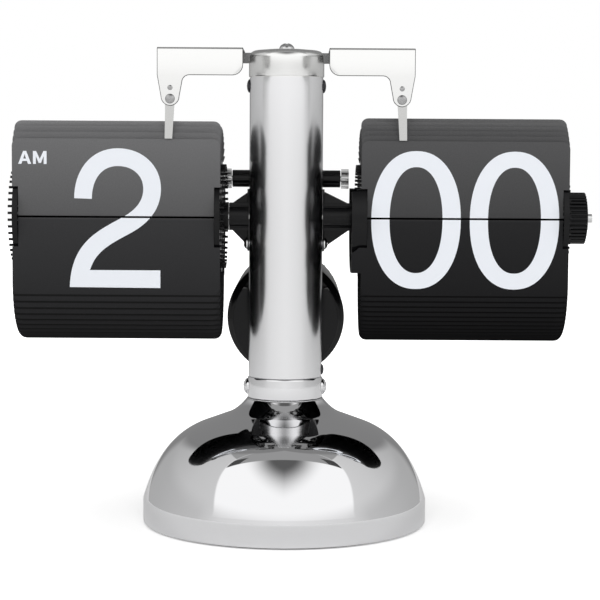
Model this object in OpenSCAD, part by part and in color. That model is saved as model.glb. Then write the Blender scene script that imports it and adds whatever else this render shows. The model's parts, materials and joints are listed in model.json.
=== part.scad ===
// Flip number clock on a chrome post and domed base.
// Two drums of hinged number leaves hang on one axle through the post.
// X is to the right, Y is to the back, Z is up, and the origin is under the base's centre.

/* [Base] */
// Diameter of the base
base_d = 101; // [90:1:112]
// Height of the base's upright skirt
skirt_h = 9; // [6:0.5:11]
// Height of the dome where the neck's flare starts
dome_h = 39.2; // [36:0.2:41]
// Radius of the dome where the neck's flare starts
shoulder_r = 20.4; // [18:0.2:24]
// Height of the base's neck
neck_h = 45; // [43:0.5:48]
// Wall of the base shell
shell_t = 1.6; // [1:0.1:2.5]
// Thickness of the steel base plate
plate_t = 2.5; // [1.5:0.1:4]
// Thickness of the soft pad that the clock stands on
pad_t = 1; // [0.6:0.1:2]

/* [Post] */
// Outer diameter of the post
post_d = 26; // [22:0.5:27]
// Wall of the post
post_t = 1.1; // [0.8:0.1:1.5]
// Height of the lower collar
collar_h = 7.8; // [6:0.2:10]
// Height of the tube's top above the main axle
post_over = 48.8; // [47:0.1:52]
// Height of the cap above the tube
cap_h = 10.1; // [9:0.1:12]
// How far the cap and the collar stand out past the tube
cap_step = 0.3; // [0.1:0.05:0.8]

/* [Drums] */
// Height of the main axle above the lower collar
axle_up = 56.7; // [54:0.1:60]
// Diameter of the main axle
axle_d = 3; // [2.6:0.1:3.6]
// Radius of the circle that the leaves hinge on
hinge_r = 18; // [17.5:0.1:18.5]
// Radius of the wheels' rims
rim_r = 19.8; // [19.4:0.1:20.2]
// Thickness of the wheels
wheel_t = 1.85; // [1.7:0.05:2]
// Diameter of the pegs that stand out of the wheels
peg_d = 0.9; // [0.7:0.05:1]
// Centre of the hour leaves, left of the post
hour_x = 58.5; // [58:0.1:60]
// Centre of the minute leaves, right of the post
minute_x = 62.1; // [61:0.1:64]

/* [Leaves] */
// Width of a leaf
leaf_w = 71.8; // [70:0.1:72.5]
// Length of a leaf from its hinge line to its edge
leaf_l = 25.75; // [24.5:0.05:26]
// Thickness of a leaf
leaf_t = 0.15; // [0.1:0.01:0.16]
// Radius of a leaf's outer corners
leaf_corner = 2.5; // [1:0.1:4]
// Gap between the upper and the lower front leaf
leaf_gap = 0.68; // [0.5:0.02:0.9]
// Depth of the notch for the wheel, along the leaf's edge
notch_l = 9.2; // [9:0.1:11]
// Standing hour leaves
hour_standing = 4; // [2:1:4]
// Standing minute leaves
minute_standing = 6; // [3:1:6]

/* [Arms] */
// Height of an arm's front plate
arm_h = 9.5; // [8:0.1:10.5]
// Length of an arm from its inner end to its leg's outer edge
arm_l = 29.5; // [27:0.5:31]
// Thickness of the arms' sheet
arm_t = 0.8; // [0.6:0.1:1]
// Thickness of a finger spring
finger_t = 0.3; // [0.2:0.05:0.35]

/* [Knob] */
// Diameter of the setting knob
knob_d = 18.3; // [16:0.1:20]
// Length of the knob's ribbed grip
knob_l = 6.4; // [5:0.1:8]
// Number of ribs on the knob
knob_ribs = 36; // [24:1:40]

/* [Battery barrel] */
// Outer diameter of the barrel
barrel_d = 42.8; // [41:0.2:44]
// Wall of the barrel
barrel_t = 1.8; // [1.4:0.1:2.4]
// Diameter of the round cell
cell_d = 33.2; // [32.5:0.1:34.2]
// Length of the round cell
cell_l = 60; // [59:0.1:61.5]

/* [Gear case] */
// Outside width of the gear case
case_w = 24; // [23:0.2:25]
// Wall of the gear case
case_t = 1.4; // [1.2:0.1:1.6]
// Depth of the gear case behind the post's centre
case_y = 36; // [35:0.5:42]
// Diameter of the motor can
motor_d = 16.2; // [14:0.2:16.6]

/* [Fasteners] */
// Diameter of the bolt that joins the post to the base
bolt_d = 6; // [5:0.5:7]
// Diameter of the base plate's screws
plate_screw_d = 3; // [2.5:0.1:3.5]
// Distance of the base plate's screws from the base's edge
plate_screw_in = 12; // [10:0.5:14]
// Diameter of the machine screws in the collar and the cap
frame_screw_d = 3; // [2.6:0.1:3.2]
// Diameter of the small screws in the case, the arms and the brackets
small_screw_d = 2; // [1.6:0.1:2.2]

/* [Clearances] */
// Radial gap of a turning shaft in its bearing
run_gap = 0.05; // [0.02:0.01:0.08]
// Gap of a fixed seat
seat_gap = 0.02; // [0.01:0.01:0.05]
// End gap between a turning piece and a fixed one
end_gap = 0.3; // [0.2:0.05:0.4]

/* [Hidden] */
$fn = 96;

base_r = base_d / 2;
base_z = 0.5;
post_r = post_d / 2;
post_in_r = post_r - post_t;
post_bottom = neck_h + collar_h;
axle_h = post_bottom + axle_up;
post_top = axle_h + post_over;
collar_r = post_r + cap_step;
cap_r = post_r + cap_step;
cap_top = post_top + cap_h;
spigot_l = 7;
bolt_r = bolt_d / 2;
bolt_head_r = 5.5;
bolt_head_h = 4;
nut_h = 4.5;
plate_screw_r = plate_screw_d / 2;
plate_head_r = plate_screw_r + 1.1;
plate_screw_l = 8;
boss_r = plate_screw_r + 2;
frame_screw_r = frame_screw_d / 2;
small_screw_r = small_screw_d / 2;
small_head_r = small_screw_r + 0.9;
foot_t = 0.7;
bearing_r = 4.75;
web_t = 2;
web_y = 1.2;
web_end = bearing_r - 0.75;
web_up = 9.7;
web_down = 12.2;
foot_w = 6.8;
bracket_screw_down = 9.5;
cap_screw_down = 2.8;
cap_side_head_r = 2.4;
cap_side_head_h = 1;
set_screw_up = 2.2;
collar_head_r = 3;
collar_screw_up = 3.9;
collar_flat = 0.4;
axle_r = axle_d / 2;
hub_r = 5;
core_r = 6;
peg_r = peg_d / 2;
wheel_gap = 0.15;
notch_w = wheel_t + 2 * wheel_gap - 0.05;
wheel_in = leaf_w / 2 - notch_w + wheel_gap;
wheel_out = wheel_in + wheel_t;
groove_w = 1.5;
groove_d = 1.3;
tab_l = wheel_gap + groove_d - 0.1;
tab_h = 0.8;
ear_w = 3.4;
ear_l = 18;
hub_in = 2.4;
peg_in = 1.5;
peg_hour_outer = 1.6;
peg_minute_outer = 0.8;
hour_count = 48;
minute_count = 60;
hour_pitch = 360 / hour_count;
minute_pitch = 360 / minute_count;
fan_out = 4;
stand_lean = 0.5;
chrome = [0.86, 0.87, 0.88];
satin = [0.72, 0.73, 0.74];
steel = [0.78, 0.79, 0.80];
black = [0.07, 0.07, 0.08];
leaf_col = [0.16, 0.16, 0.17];
brass = [0.78, 0.62, 0.30];

// Layout of the train in the post and the case behind it
gear_m = 0.5;
drive_n = 40;
pinion_n = 14;
middle_n = 36;
gear_t = 2.6;
gear_backlash = 0.16;
middle_dist = gear_m * (drive_n + pinion_n) / 2;
middle_drop = 15;
middle_y = middle_dist * cos(middle_drop);
middle_z = axle_h - middle_dist * sin(middle_drop);
motor_y = middle_y + gear_m * (middle_n + pinion_n) / 2;
motor_z = middle_z;
arbor_r = 0.75;
drive_x = -4.4;
middle_x = 0.5;
middle_tip = gear_m * (middle_n / 2 + 0.8);
case_gap = 1.5;
case_y0 = bearing_r + end_gap;
case_z0 = motor_z - max(middle_tip, motor_d / 2) - case_gap - case_t;
cover_t = 1.4;
cover_lip = 1.5;
cover_screw_in = 4;
cover_screw_l = 5;

// Layout of the hour transfer above the case's middle
transfer_n = 8;
transfer_r = hinge_r * transfer_n / hour_count;
transfer_dist = hinge_r + transfer_r;
transfer_up = 13.3;
transfer_z = axle_h + transfer_up;
transfer_y = sqrt(transfer_dist * transfer_dist - transfer_up * transfer_up);
transfer_ang = atan2(transfer_up, transfer_y);
transfer_shaft_r = 1;
sleeve_r = 3.1;
sleeve_half = 19.6;
case_z1 = transfer_z + sleeve_r + 2.1;

// Layout of the arms, the legs and the fingers
arm_y = -hinge_r - 1.55;
arm_in = cap_r + 1.5;
arm_out = arm_in + arm_l;
arm_z1 = cap_top - 0.6;
arm_z0 = arm_z1 - arm_h;
leg_w0 = 8.6;
leg_w1 = 6.4;
leg_l = 10.5;
leg_z = arm_z0 - leg_l;
leg_lean = 1.3;
leg_mid = arm_out - leg_lean - leg_w1 / 2;
finger_top = arm_z0 - 2.2;
finger_w0 = 3.9;
finger_w1 = 2.6;
screw_z = leg_z + 2.4;
rivet_z = leg_z + 6.2;
arm_corner = 2.5;
arm_round = 3.6;
finger_screw_r = 0.8;
rivet_r = 0.6;
flange_w = 6;
tongue_w = 9;
bar_h = 3.4;
bar_w = 6;
bar_z1 = arm_z1 - arm_t;

// Layout of the barrel, which hangs under the gear case
barrel_r = barrel_d / 2;
barrel_h = case_z0 - barrel_r - 0.1;
barrel_rim = 2.5;
barrel_y0 = post_r + 3;
contact_y = barrel_y0 + barrel_t;
contact_t = 0.5;
cell_y0 = contact_y + contact_t + 1.6;
spring_l = 3;
door_y = cell_y0 + cell_l + spring_l;
door_floor = door_y + 1;
cell_gap = 0.2;
rib_w = 2;
door_l = 4;
door_ribs = 48;
saddle_y0 = 4;
saddle_top = 11.3;

function bezier(p, q, r, s, n) = [for (i = [0 : n])
  let (t = i / n, u = 1 - t)
  u * u * u * p + 3 * u * u * t * q + 3 * u * t * t * r + t * t * t * s];

function arc(cx, cy, r, a0, a1, n) = [for (i = [0 : n])
  let (a = a0 + (a1 - a0) * i / n)
  [cx + r * cos(a), cy + r * sin(a)]];

// Outer line of the base from the skirt to the neck
function base_line(n) = concat(
  [[base_r, base_z]],
  bezier([base_r, skirt_h], [base_r - 4.5, skirt_h + 16],
         [shoulder_r + 18, dome_h - 6.9], [shoulder_r + 9.6, dome_h - 3.6], n),
  bezier([shoulder_r, dome_h], [shoulder_r - 2.8, dome_h + 1.1],
         [collar_r + 0.7, neck_h - 2.9], [collar_r + 0.1, neck_h], 8)
);

// Involute tooth outline of a spur gear, with one tooth on the local x axis
function involute(rb, r) = let (t = sqrt(max(r * r / (rb * rb) - 1, 0))) t * 180 / PI - atan(t);
function gear_points(n, m) = let (
    rp = n * m / 2,
    rb = rp * cos(20),
    ra = rp + 0.8 * m,
    rf = rp - 1.1 * m,
    half = (PI * m / 2 - gear_backlash) / (2 * rp) * 180 / PI + involute(rb, rp),
    steps = [for (i = [0 : 4]) max(rb, rf) + (ra - max(rb, rf)) * i / 4],
    tooth = concat(
      [[rf, -half]],
      [for (r = steps) [r, -half + involute(rb, r)]],
      [for (i = [4 : -1 : 0]) [steps[i], half - involute(rb, steps[i])]],
      [[rf, half]]))
  [for (k = [0 : n - 1], p = tooth) p[0] * [cos(p[1] + k * 360 / n), sin(p[1] + k * 360 / n)]];

// Outline of a round grip with n ribs of the depth d
function ribbed(r, d, n) = [for (k = [0 : n - 1], j = [[-0.34, d], [-0.16, 0], [0.16, 0], [0.34, d]])
  (r - j[1]) * [cos((k + j[0]) * 360 / n), sin((k + j[0]) * 360 / n)]];

// Turn of a gear that meets another one, with the line of centres at the angle a
function mesh_turn(a, a1, n1, n2) = a + 180 + (a - a1) * n1 / n2 + 180 / n2;

// Outline of one leaf, lying with its hinge line on the local x axis
function leaf_points(tail, ear) = let (h = leaf_w / 2, n = h - notch_w, t = tab_h / 2, c = leaf_corner)
  concat(
    [[-n, -tail], [n, -tail], [n, -t], [n + tab_l, -t], [n + tab_l, t], [n, t],
     [n, notch_l], [h, notch_l]],
    arc(h - c, leaf_l - c, c, 0, 90, 5),
    arc(c - h, leaf_l - c, c, 90, 180, 5),
    ear ? [[-h, ear_l], [-h - ear_w, ear_l], [-h - ear_w, notch_l + 2.3], [-h - 0.6, notch_l]] : [],
    [[-h, notch_l], [-n, notch_l], [-n, t], [-n - tab_l, t], [-n - tab_l, -t], [-n, -t]]
  );

// Part of a leaf behind its hinge line
function leaf_tail(pitch) = hinge_r * sin(pitch / 2) - leaf_gap / 2;

// Lean of leaf k from upright: standing, fanned over the top, or hanging
function lean(k, pitch, standing) = k < standing ? stand_lean * k * pitch
  : (k + 0.5) * pitch < 180 ? (k + 0.5) * pitch - fan_out : 180;

module along_x(x) translate([x, 0, 0]) rotate([90, 0, 90]) children();
module at_axle(x) translate([0, 0, axle_h]) along_x(x) children();
module rod_x(x0, x1, r) along_x(x0) cylinder(r = r, h = x1 - x0);
module rod_y(y0, y1, r) translate([0, y0, 0]) rotate([-90, 0, 0]) cylinder(r = r, h = y1 - y0);
module sides() for (s = [-1, 1]) scale_x(s) children();
module scale_x(s) if (s < 0) mirror([1, 0, 0]) children(); else children();

// Domed screw head with its shank, standing on the local xy plane
module dome_screw(head_r, head_h, shank_r, shank_l) {
  ball = (head_r * head_r + head_h * head_h) / (2 * head_h);
  intersection() {
    translate([0, 0, head_h - ball]) sphere(r = ball);
    cylinder(r = head_r + 1, h = head_h + 1);
  }
  translate([0, 0, -shank_l]) cylinder(r = shank_r, h = shank_l + 0.05);
}

// Hole for a small screw through the post's wall, into what stands inside it
module small_hole() rod_x(post_in_r - 3, post_r + 2, small_screw_r + seat_gap);

module flat_gear(n, bore_r, t) difference() {
  linear_extrude(t) polygon(gear_points(n, gear_m));
  translate([0, 0, -1]) cylinder(r = bore_r, h = t + 2);
}

// Line of the base moved inwards by d
function inner_line(d) = [for (p = base_line(20)) [max(p[0] - d, 0), max(p[1] - d, base_z)]];

module plate_screw_places() for (a = [90 : 120 : 330]) rotate(a)
  translate([base_r - plate_screw_in, 0, 0]) children();

// Spun shell, with three bosses inside that take the base plate's screws
module base_shell() color(chrome) difference() {
  union() {
    rotate_extrude() polygon(concat(
      base_line(20),
      [[0, neck_h], [0, neck_h - shell_t]],
      [[collar_r - 2 * shell_t, neck_h - shell_t]],
      [for (i = [len(base_line(20)) - 9 : -1 : 1]) base_line(20)[i] - [shell_t, shell_t]],
      [[base_r - shell_t, base_z]]));
    intersection() {
      plate_screw_places() translate([0, 0, pad_t + plate_t + seat_gap]) cylinder(r = boss_r, h = dome_h);
      rotate_extrude() polygon(concat([[0, base_z]], inner_line(shell_t / 2), [[0, neck_h - shell_t / 2]]));
    }
  }
  translate([0, 0, neck_h - 2 * shell_t]) cylinder(r = bolt_r + seat_gap, h = 4 * shell_t);
  plate_screw_places() cylinder(r = plate_screw_r + seat_gap, h = pad_t + plate_t + plate_screw_l + 0.5);
}

module base_plate() color(steel) difference() {
  translate([0, 0, pad_t]) cylinder(r = base_r - shell_t - 0.1, h = plate_t);
  plate_screw_places() cylinder(r = plate_screw_r + seat_gap, h = 2 * plate_t + pad_t);
}

module base_pad() color(black) difference() {
  cylinder(r = base_r - shell_t - 1, h = pad_t);
  plate_screw_places() translate([0, 0, -1]) cylinder(r = plate_head_r + 1, h = pad_t + 2);
}

module base_screws() color(steel) plate_screw_places() translate([0, 0, pad_t]) mirror([0, 0, 1])
  dome_screw(plate_head_r, 0.8, plate_screw_r, plate_t + plate_screw_l);

module post_bolt() color(steel) {
  translate([0, 0, neck_h - shell_t - bolt_head_h]) cylinder(r = bolt_head_r, h = bolt_head_h, $fn = 6);
  translate([0, 0, neck_h - shell_t - 0.05])
    cylinder(r = bolt_r, h = shell_t + collar_h + spigot_l + nut_h + 0.5);
}

module post_nut() color(steel) translate([0, 0, post_bottom + spigot_l]) difference() {
  cylinder(r = bolt_head_r, h = nut_h, $fn = 6);
  translate([0, 0, -1]) cylinder(r = bolt_r + seat_gap, h = nut_h + 2);
}

module lower_collar() color(satin) difference() {
  union() {
    rotate_extrude() polygon([[0, neck_h], [collar_r - 0.5, neck_h], [collar_r, neck_h + 0.5],
      [collar_r, post_bottom - 0.4], [collar_r - 0.4, post_bottom], [0, post_bottom]]);
    translate([0, 0, neck_h]) cylinder(r = post_in_r - seat_gap, h = collar_h + spigot_l);
  }
  translate([0, 0, neck_h - 1]) cylinder(r = bolt_r + seat_gap, h = collar_h + spigot_l + 2);
  sides() translate([0, 0, neck_h + collar_screw_up]) {
    rod_x(collar_r - 4, collar_r + 1, frame_screw_r + seat_gap);
    rod_x(collar_r - collar_flat, collar_r + 1, collar_head_r + seat_gap);
  }
  translate([0, 0, post_bottom + set_screw_up]) small_hole();
}

module collar_screws() color(chrome) sides() translate([collar_r - collar_flat, 0, neck_h + collar_screw_up])
  rotate([0, 90, 0]) dome_screw(collar_head_r, 2, frame_screw_r, 3.2);

module collar_set_screw() color(black) translate([post_r, 0, post_bottom + set_screw_up])
  rotate([0, 90, 0]) dome_screw(small_head_r, 0.8, small_screw_r, 3.5);

module post_tube() color(chrome) difference() {
  translate([0, 0, post_bottom]) cylinder(r = post_r, h = post_top - post_bottom);
  translate([0, 0, post_bottom - 1]) cylinder(r = post_in_r, h = post_top - post_bottom + 2);
  translate([0, 0, axle_h]) rod_x(-post_r - 1, post_r + 1, axle_r + 1);
  sides() {
    translate([0, -1, axle_h - bracket_screw_down]) small_hole();
    translate([0, 0, post_top - cap_screw_down]) small_hole();
  }
  translate([0, 0, post_bottom + set_screw_up]) small_hole();
  translate([drive_x - 1.5, 2, middle_z - gear_m * middle_n / 2 - 1.5])
    cube([middle_x + gear_t - drive_x + 3, post_d, gear_m * middle_n + 3]);
  at_transfer(-post_d) cylinder(r = sleeve_r + seat_gap, h = 2 * post_d);
  at_middle(-post_d) cylinder(r = arbor_r + run_gap, h = 2 * post_d);
}

module post_cap() color(satin) difference() {
  union() {
    rotate_extrude() polygon(concat([[0, post_top], [cap_r - 0.4, post_top], [cap_r, post_top + 0.4]],
      arc(cap_r - 1.4, cap_top - 1.4, 1.4, 0, 90, 8), [[0, cap_top]]));
    translate([0, 0, post_top - spigot_l]) cylinder(r = post_in_r - seat_gap, h = spigot_l + 1);
  }
  translate([-post_d, -bar_w / 2 - seat_gap, bar_z1 - bar_h - seat_gap])
    cube([2 * post_d, bar_w + 2 * seat_gap, bar_h + 2 * seat_gap]);
  translate([0, 0, bar_z1 - bar_h - 4]) cylinder(r = frame_screw_r + seat_gap, h = cap_h + 4);
  sides() translate([0, 0, post_top - cap_screw_down]) small_hole();
}

module cap_screw() color(steel) translate([0, 0, cap_top])
  dome_screw(frame_screw_r + 1.2, 2.2, frame_screw_r, cap_h - 3);

module cap_side_screws() color(black) sides() translate([post_r, 0, post_top - cap_screw_down])
  rotate([0, 90, 0]) dome_screw(cap_side_head_r, cap_side_head_h, small_screw_r, 2.5);

module bridge_bar() color(black) difference() {
  translate([-arm_in - tongue_w, -bar_w / 2, bar_z1 - bar_h]) cube([2 * (arm_in + tongue_w), bar_w, bar_h]);
  translate([0, 0, bar_z1 - 2 * bar_h]) cylinder(r = frame_screw_r + seat_gap, h = 3 * bar_h);
  sides() translate([arm_in + tongue_w / 2, 0, bar_z1 - bar_h + 0.6])
    cylinder(r = small_screw_r + seat_gap, h = 2 * bar_h);
}

// Right-hand arm: front plate with its tapered leg, top flange and the tongue on the bar
module arm() difference() {
  union() {
    translate([0, arm_y + arm_t, 0]) rotate([90, 0, 0]) linear_extrude(arm_t) polygon(concat(
      [[arm_in, arm_z1]],
      arc(arm_in + arm_round, arm_z0 + arm_round, arm_round, 180, 270, 6),
      arc(arm_out - leg_w0 - arm_corner, arm_z0 - arm_corner, arm_corner, 90, 0, 5),
      arc(leg_mid, leg_z + leg_w1 / 2, leg_w1 / 2, 180, 360, 12),
      [[arm_out, arm_z0], [arm_out, arm_z1]]));
    translate([arm_in, arm_y, arm_z1 - arm_t]) cube([arm_l, flange_w, arm_t]);
    translate([arm_in, arm_y, arm_z1 - arm_t]) cube([tongue_w, bar_w / 2 - arm_y, arm_t]);
  }
  finger_holes();
  translate([arm_in + tongue_w / 2, 0, arm_z1 - 2]) cylinder(r = small_screw_r + seat_gap, h = 4);
}

module finger_holes() {
  translate([leg_mid, arm_y, screw_z]) rod_y(-1, arm_t + finger_t + 1, finger_screw_r + seat_gap);
  translate([leg_mid, arm_y, rivet_z]) rod_y(-1, arm_t + finger_t + 1, rivet_r + seat_gap);
}

module left_arm() color(chrome) mirror([1, 0, 0]) arm();
module right_arm() color(chrome) arm();

// Spring strip behind a leg, which holds back the next leaf's top edge
module finger(tip) difference() {
  translate([0, arm_y + arm_t + finger_t, 0]) rotate([90, 0, 0]) linear_extrude(finger_t) polygon([
    [leg_mid - finger_w0 / 2, finger_top], [leg_mid + finger_w0 / 2, finger_top],
    [leg_mid + finger_w0 / 2 - 0.2, leg_z - 2], [leg_mid + finger_w1 / 2 + 0.6, tip],
    [leg_mid - finger_w1 / 2 + 0.6, tip]]);
  finger_holes();
}

function finger_tip(pitch) = axle_h + hinge_r * sin(pitch / 2) + leaf_l + 0.15;

module left_finger() color(steel) mirror([1, 0, 0]) finger(finger_tip(hour_pitch));
module right_finger() color(steel) finger(finger_tip(minute_pitch));

module finger_screws() color(steel) sides() translate([leg_mid, arm_y, screw_z]) rotate([90, 0, 0])
  difference() {
    dome_screw(finger_screw_r + 0.9, 0.7, finger_screw_r, arm_t + finger_t);
    for (a = [0, 90]) rotate(a) translate([-1, -0.18, 0.35]) cube([2, 0.36, 1]);
  }

module finger_rivets() color(steel) sides() translate([leg_mid, arm_y, rivet_z]) rotate([90, 0, 0])
  dome_screw(rivet_r + 0.3, 0.3, rivet_r, arm_t + finger_t);

module arm_screws() color(steel) sides() translate([arm_in + tongue_w / 2, 0, arm_z1])
  dome_screw(small_head_r, 0.9, small_screw_r, arm_t + bar_h - 1.2);

// Right-hand bearing bracket: bearing tube, triangular webs and the foot on the post
module bracket(x_end) difference() {
  union() {
    translate([0, 0, axle_h]) rod_x(post_in_r, x_end, bearing_r);
    translate([0, web_y + web_t, axle_h]) rotate([90, 0, 0]) linear_extrude(web_t)
      polygon([[post_in_r, web_up], [x_end, web_end], [x_end, -web_end], [post_in_r, -web_down]]);
    translate([post_in_r, -bearing_r / 2 - web_t / 2, axle_h - bearing_r + 1])
      cube([x_end - post_in_r, web_t, 2 * bearing_r - 2]);
    for (z = [-1, 1]) translate([post_in_r, -web_end, axle_h + z * (bearing_r - 0.45) - 0.5])
      cube([x_end - post_in_r, 2 * web_end, 1]);
    intersection() {
      translate([0, 0, axle_h - web_down]) cylinder(r = post_r + foot_t, h = web_up + web_down);
      translate([0, -foot_w / 2, axle_h - web_down]) cube([post_d, foot_w, web_up + web_down]);
    }
  }
  translate([0, 0, axle_h - post_d]) cylinder(r = post_r + seat_gap, h = 2 * post_d);
  translate([0, 0, axle_h]) rod_x(0, x_end + 1, axle_r + run_gap);
  translate([0, -1, axle_h - bracket_screw_down]) rod_x(0, x_end, small_screw_r + seat_gap);
}

hour_hub_x = hour_x - wheel_out - hub_in;
minute_hub_x = minute_x - wheel_out - hub_in;
module left_bracket() color(black) mirror([1, 0, 0]) bracket(hour_hub_x - end_gap);
module right_bracket() color(black) bracket(minute_hub_x - end_gap);

module bracket_screws() color(chrome) sides()
  translate([post_r + foot_t + seat_gap, -1, axle_h - bracket_screw_down])
  rotate([0, 90, 0]) dome_screw(small_head_r + 0.2, 1.2, small_screw_r, 3.4);

knob_x = minute_x + wheel_out + 0.1;
knob_flange = 1.7;
axle_end = knob_x + knob_flange + knob_l + 2.5;
clip_x = hour_x + wheel_out + end_gap;

module main_axle() color(steel) translate([0, 0, axle_h]) difference() {
  rod_x(-clip_x - 1.2, axle_end, axle_r);
  rotate([0, -90, 0]) translate([0, 0, clip_x]) difference() {
    cylinder(r = axle_r + 1, h = 0.5);
    translate([0, 0, -1]) cylinder(r = axle_r - 0.4, h = 3);
  }
}

module axle_clip() color(steel) translate([0, 0, axle_h]) along_x(-clip_x - 0.5) difference() {
  cylinder(r = 3, h = 0.5);
  translate([0, 0, -1]) cylinder(r = axle_r - 0.4 + seat_gap, h = 3);
  translate([-0.9, 0, -1]) cube([1.8, 5, 3]);
}

module drive_gear() color(brass) at_axle(drive_x) difference() {
  union() {
    flat_gear(drive_n, axle_r + seat_gap, gear_t);
    translate([0, 0, gear_t - 0.05]) cylinder(r = 3.4, h = 2.2);
  }
  translate([0, 0, -1]) cylinder(r = axle_r + seat_gap, h = gear_t + 5);
  for (a = [0 : 60 : 300]) rotate(a) translate([6, 0, -1]) cylinder(r = 1.5, h = gear_t + 2);
}

// Wheel seen from its leaf side, with the blind groove that the leaf tabs run in
module wheel(count, peg_l, bore_r, hub_l) difference() {
  union() {
    cylinder(r = rim_r, h = wheel_t);
    cylinder(r = hub_r, h = wheel_t + hub_l);
    for (k = [0 : count - 1]) rotate((k + 0.5) * 360 / count) translate([hinge_r, 0, wheel_t - 0.05])
      cylinder(r = peg_r, h = peg_l + 0.05);
  }
  translate([0, 0, -1]) cylinder(r = bore_r, h = wheel_t + hub_l + 2);
  translate([0, 0, -1]) difference() {
    cylinder(r = hinge_r + groove_w / 2, h = groove_d + 1);
    cylinder(r = hinge_r - groove_w / 2, h = groove_d + 1);
  }
  for (a = [0 : 72 : 288]) rotate(a) translate([11.2, 0, -1]) cylinder(r = 3.4, h = wheel_t + 2);
}

module on_side(x, s) translate([x, 0, axle_h]) scale_x(s) along_x(wheel_in) children();

module hour_wheel_outer() color(black) on_side(-hour_x, -1)
  wheel(hour_count, peg_hour_outer, axle_r + run_gap, 0.1);
module hour_wheel_inner() color(black) on_side(-hour_x, 1)
  wheel(hour_count, peg_in, axle_r + run_gap, hub_in);
module hour_core() color(black) core(-hour_x, axle_r + run_gap);

module minute_wheel_outer() color(black) on_side(minute_x, 1)
  wheel(minute_count, peg_minute_outer, axle_r + seat_gap, 0.05);
module minute_wheel_inner() color(black) {
  on_side(minute_x, -1) wheel(minute_count, peg_in, axle_r + seat_gap, hub_in);
  on_side(minute_x, -1) carry_ring();
}
module minute_core() color(black) core(minute_x, axle_r + seat_gap);

// Guard rim beside the minute pegs, open where the carry reaches in
module carry_ring() translate([0, 0, wheel_t - 0.05]) difference() {
  cylinder(r = rim_r, h = hub_in + 1);
  translate([0, 0, -1]) cylinder(r = rim_r - 1.1, h = hub_in + 3);
  rotate(30) translate([0, 0, -1]) linear_extrude(hub_in + 3)
    polygon(concat([[0, 0]], [for (a = [0, 61, 122]) 3 * rim_r * [cos(a), sin(a)]]));
}

module core(x, bore_r) at_axle(x - wheel_in) difference() {
  cylinder(r = core_r, h = 2 * wheel_in);
  translate([0, 0, -1]) cylinder(r = bore_r, h = 2 * wheel_in + 2);
}

module setting_knob() color(black) at_axle(knob_x) difference() {
  union() {
    cylinder(r = knob_d / 2 - 0.5, h = knob_flange + 0.1);
    translate([0, 0, knob_flange]) linear_extrude(knob_l) polygon(ribbed(knob_d / 2, 0.7, knob_ribs));
  }
  translate([0, 0, -1]) cylinder(r = axle_r + seat_gap, h = knob_l + knob_flange + 2);
  translate([0, 0, knob_flange + knob_l - 1.2]) difference() {
    cylinder(r = knob_d / 2 - 2, h = 2);
    translate([0, 0, -1]) cylinder(r = 3.2, h = 4);
  }
}

module leaf(x, k, pitch, turn, ear) let (a = (k + 0.5) * pitch)
  translate([x, -hinge_r * cos(a), axle_h + hinge_r * sin(a)])
  rotate([90 - turn, 0, 0]) linear_extrude(leaf_t, center = true)
  polygon(leaf_points(leaf_tail(pitch), ear));

// All leaves of a drum but the front standing one, which has its own hinge
module leaf_pack(x, count, standing, carry) let (pitch = 360 / count) for (k = [1 : count - 1])
  leaf(x, k, pitch, lean(k, pitch, standing), carry && k == count - 1);

module hour_leaves() color(leaf_col) leaf_pack(-hour_x, hour_count, hour_standing, false);
module hour_front_leaf() color(leaf_col) leaf(-hour_x, 0, hour_pitch, 0, false);
module minute_leaves() color(leaf_col) leaf_pack(minute_x, minute_count, minute_standing, true);
module minute_front_leaf() color(leaf_col) leaf(minute_x, 0, minute_pitch, 0, false);

transfer_x0 = -hour_hub_x - hub_in + end_gap;
transfer_x1 = minute_hub_x - end_gap - 1;
module at_transfer(x) translate([0, transfer_y, transfer_z]) along_x(x) children();

module transfer_shaft() color(steel) at_transfer(transfer_x0)
  cylinder(r = transfer_shaft_r, h = transfer_x1 - transfer_x0);

module transfer_sleeve() color(black) at_transfer(-sleeve_half) difference() {
  cylinder(r = sleeve_r, h = 2 * sleeve_half);
  translate([0, 0, -1]) cylinder(r = transfer_shaft_r + run_gap, h = 2 * sleeve_half + 2);
}

// Pinion with slim round-nosed teeth that run between the wheel's pegs
module peg_pinion(l, turn) rotate(turn) difference() {
  union() {
    cylinder(r = 1.9, h = l);
    for (k = [0 : transfer_n - 1]) rotate((k + 0.5) * 360 / transfer_n) linear_extrude(l)
      polygon([[1, -0.42], [transfer_r, -0.42], [transfer_r + 0.55, -0.18], [transfer_r + 0.55, 0.18],
               [transfer_r, 0.42], [1, 0.42]]);
  }
  translate([0, 0, -1]) cylinder(r = transfer_shaft_r + seat_gap, h = l + 2);
}

pinion_turn = transfer_ang + 180 + (transfer_ang - hour_pitch / 2) * hour_count / transfer_n;
module hour_pinion() color(steel) at_transfer(transfer_x0)
  peg_pinion(-sleeve_half - end_gap - transfer_x0, pinion_turn);
module carry_pinion() color(steel) at_transfer(sleeve_half + end_gap)
  peg_pinion(transfer_x1 - sleeve_half - end_gap, pinion_turn);

module at_middle(x) translate([0, middle_y, middle_z]) along_x(x) children();
module at_motor(x) translate([0, motor_y, motor_z]) along_x(x) children();
middle_turn = mesh_turn(-middle_drop, 0, drive_n, pinion_n);
motor_turn = mesh_turn(0, 0, middle_n, pinion_n);
arbor_half = case_w / 2 - 0.3;

module middle_arbor() color(steel) at_middle(-arbor_half) cylinder(r = arbor_r, h = 2 * arbor_half);
module middle_pinion() color(brass) at_middle(drive_x - 0.4) rotate(middle_turn)
  flat_gear(pinion_n, arbor_r + seat_gap, middle_x - drive_x + 0.4);
module middle_gear() color(brass) at_middle(middle_x) flat_gear(middle_n, arbor_r + seat_gap, gear_t);

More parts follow.
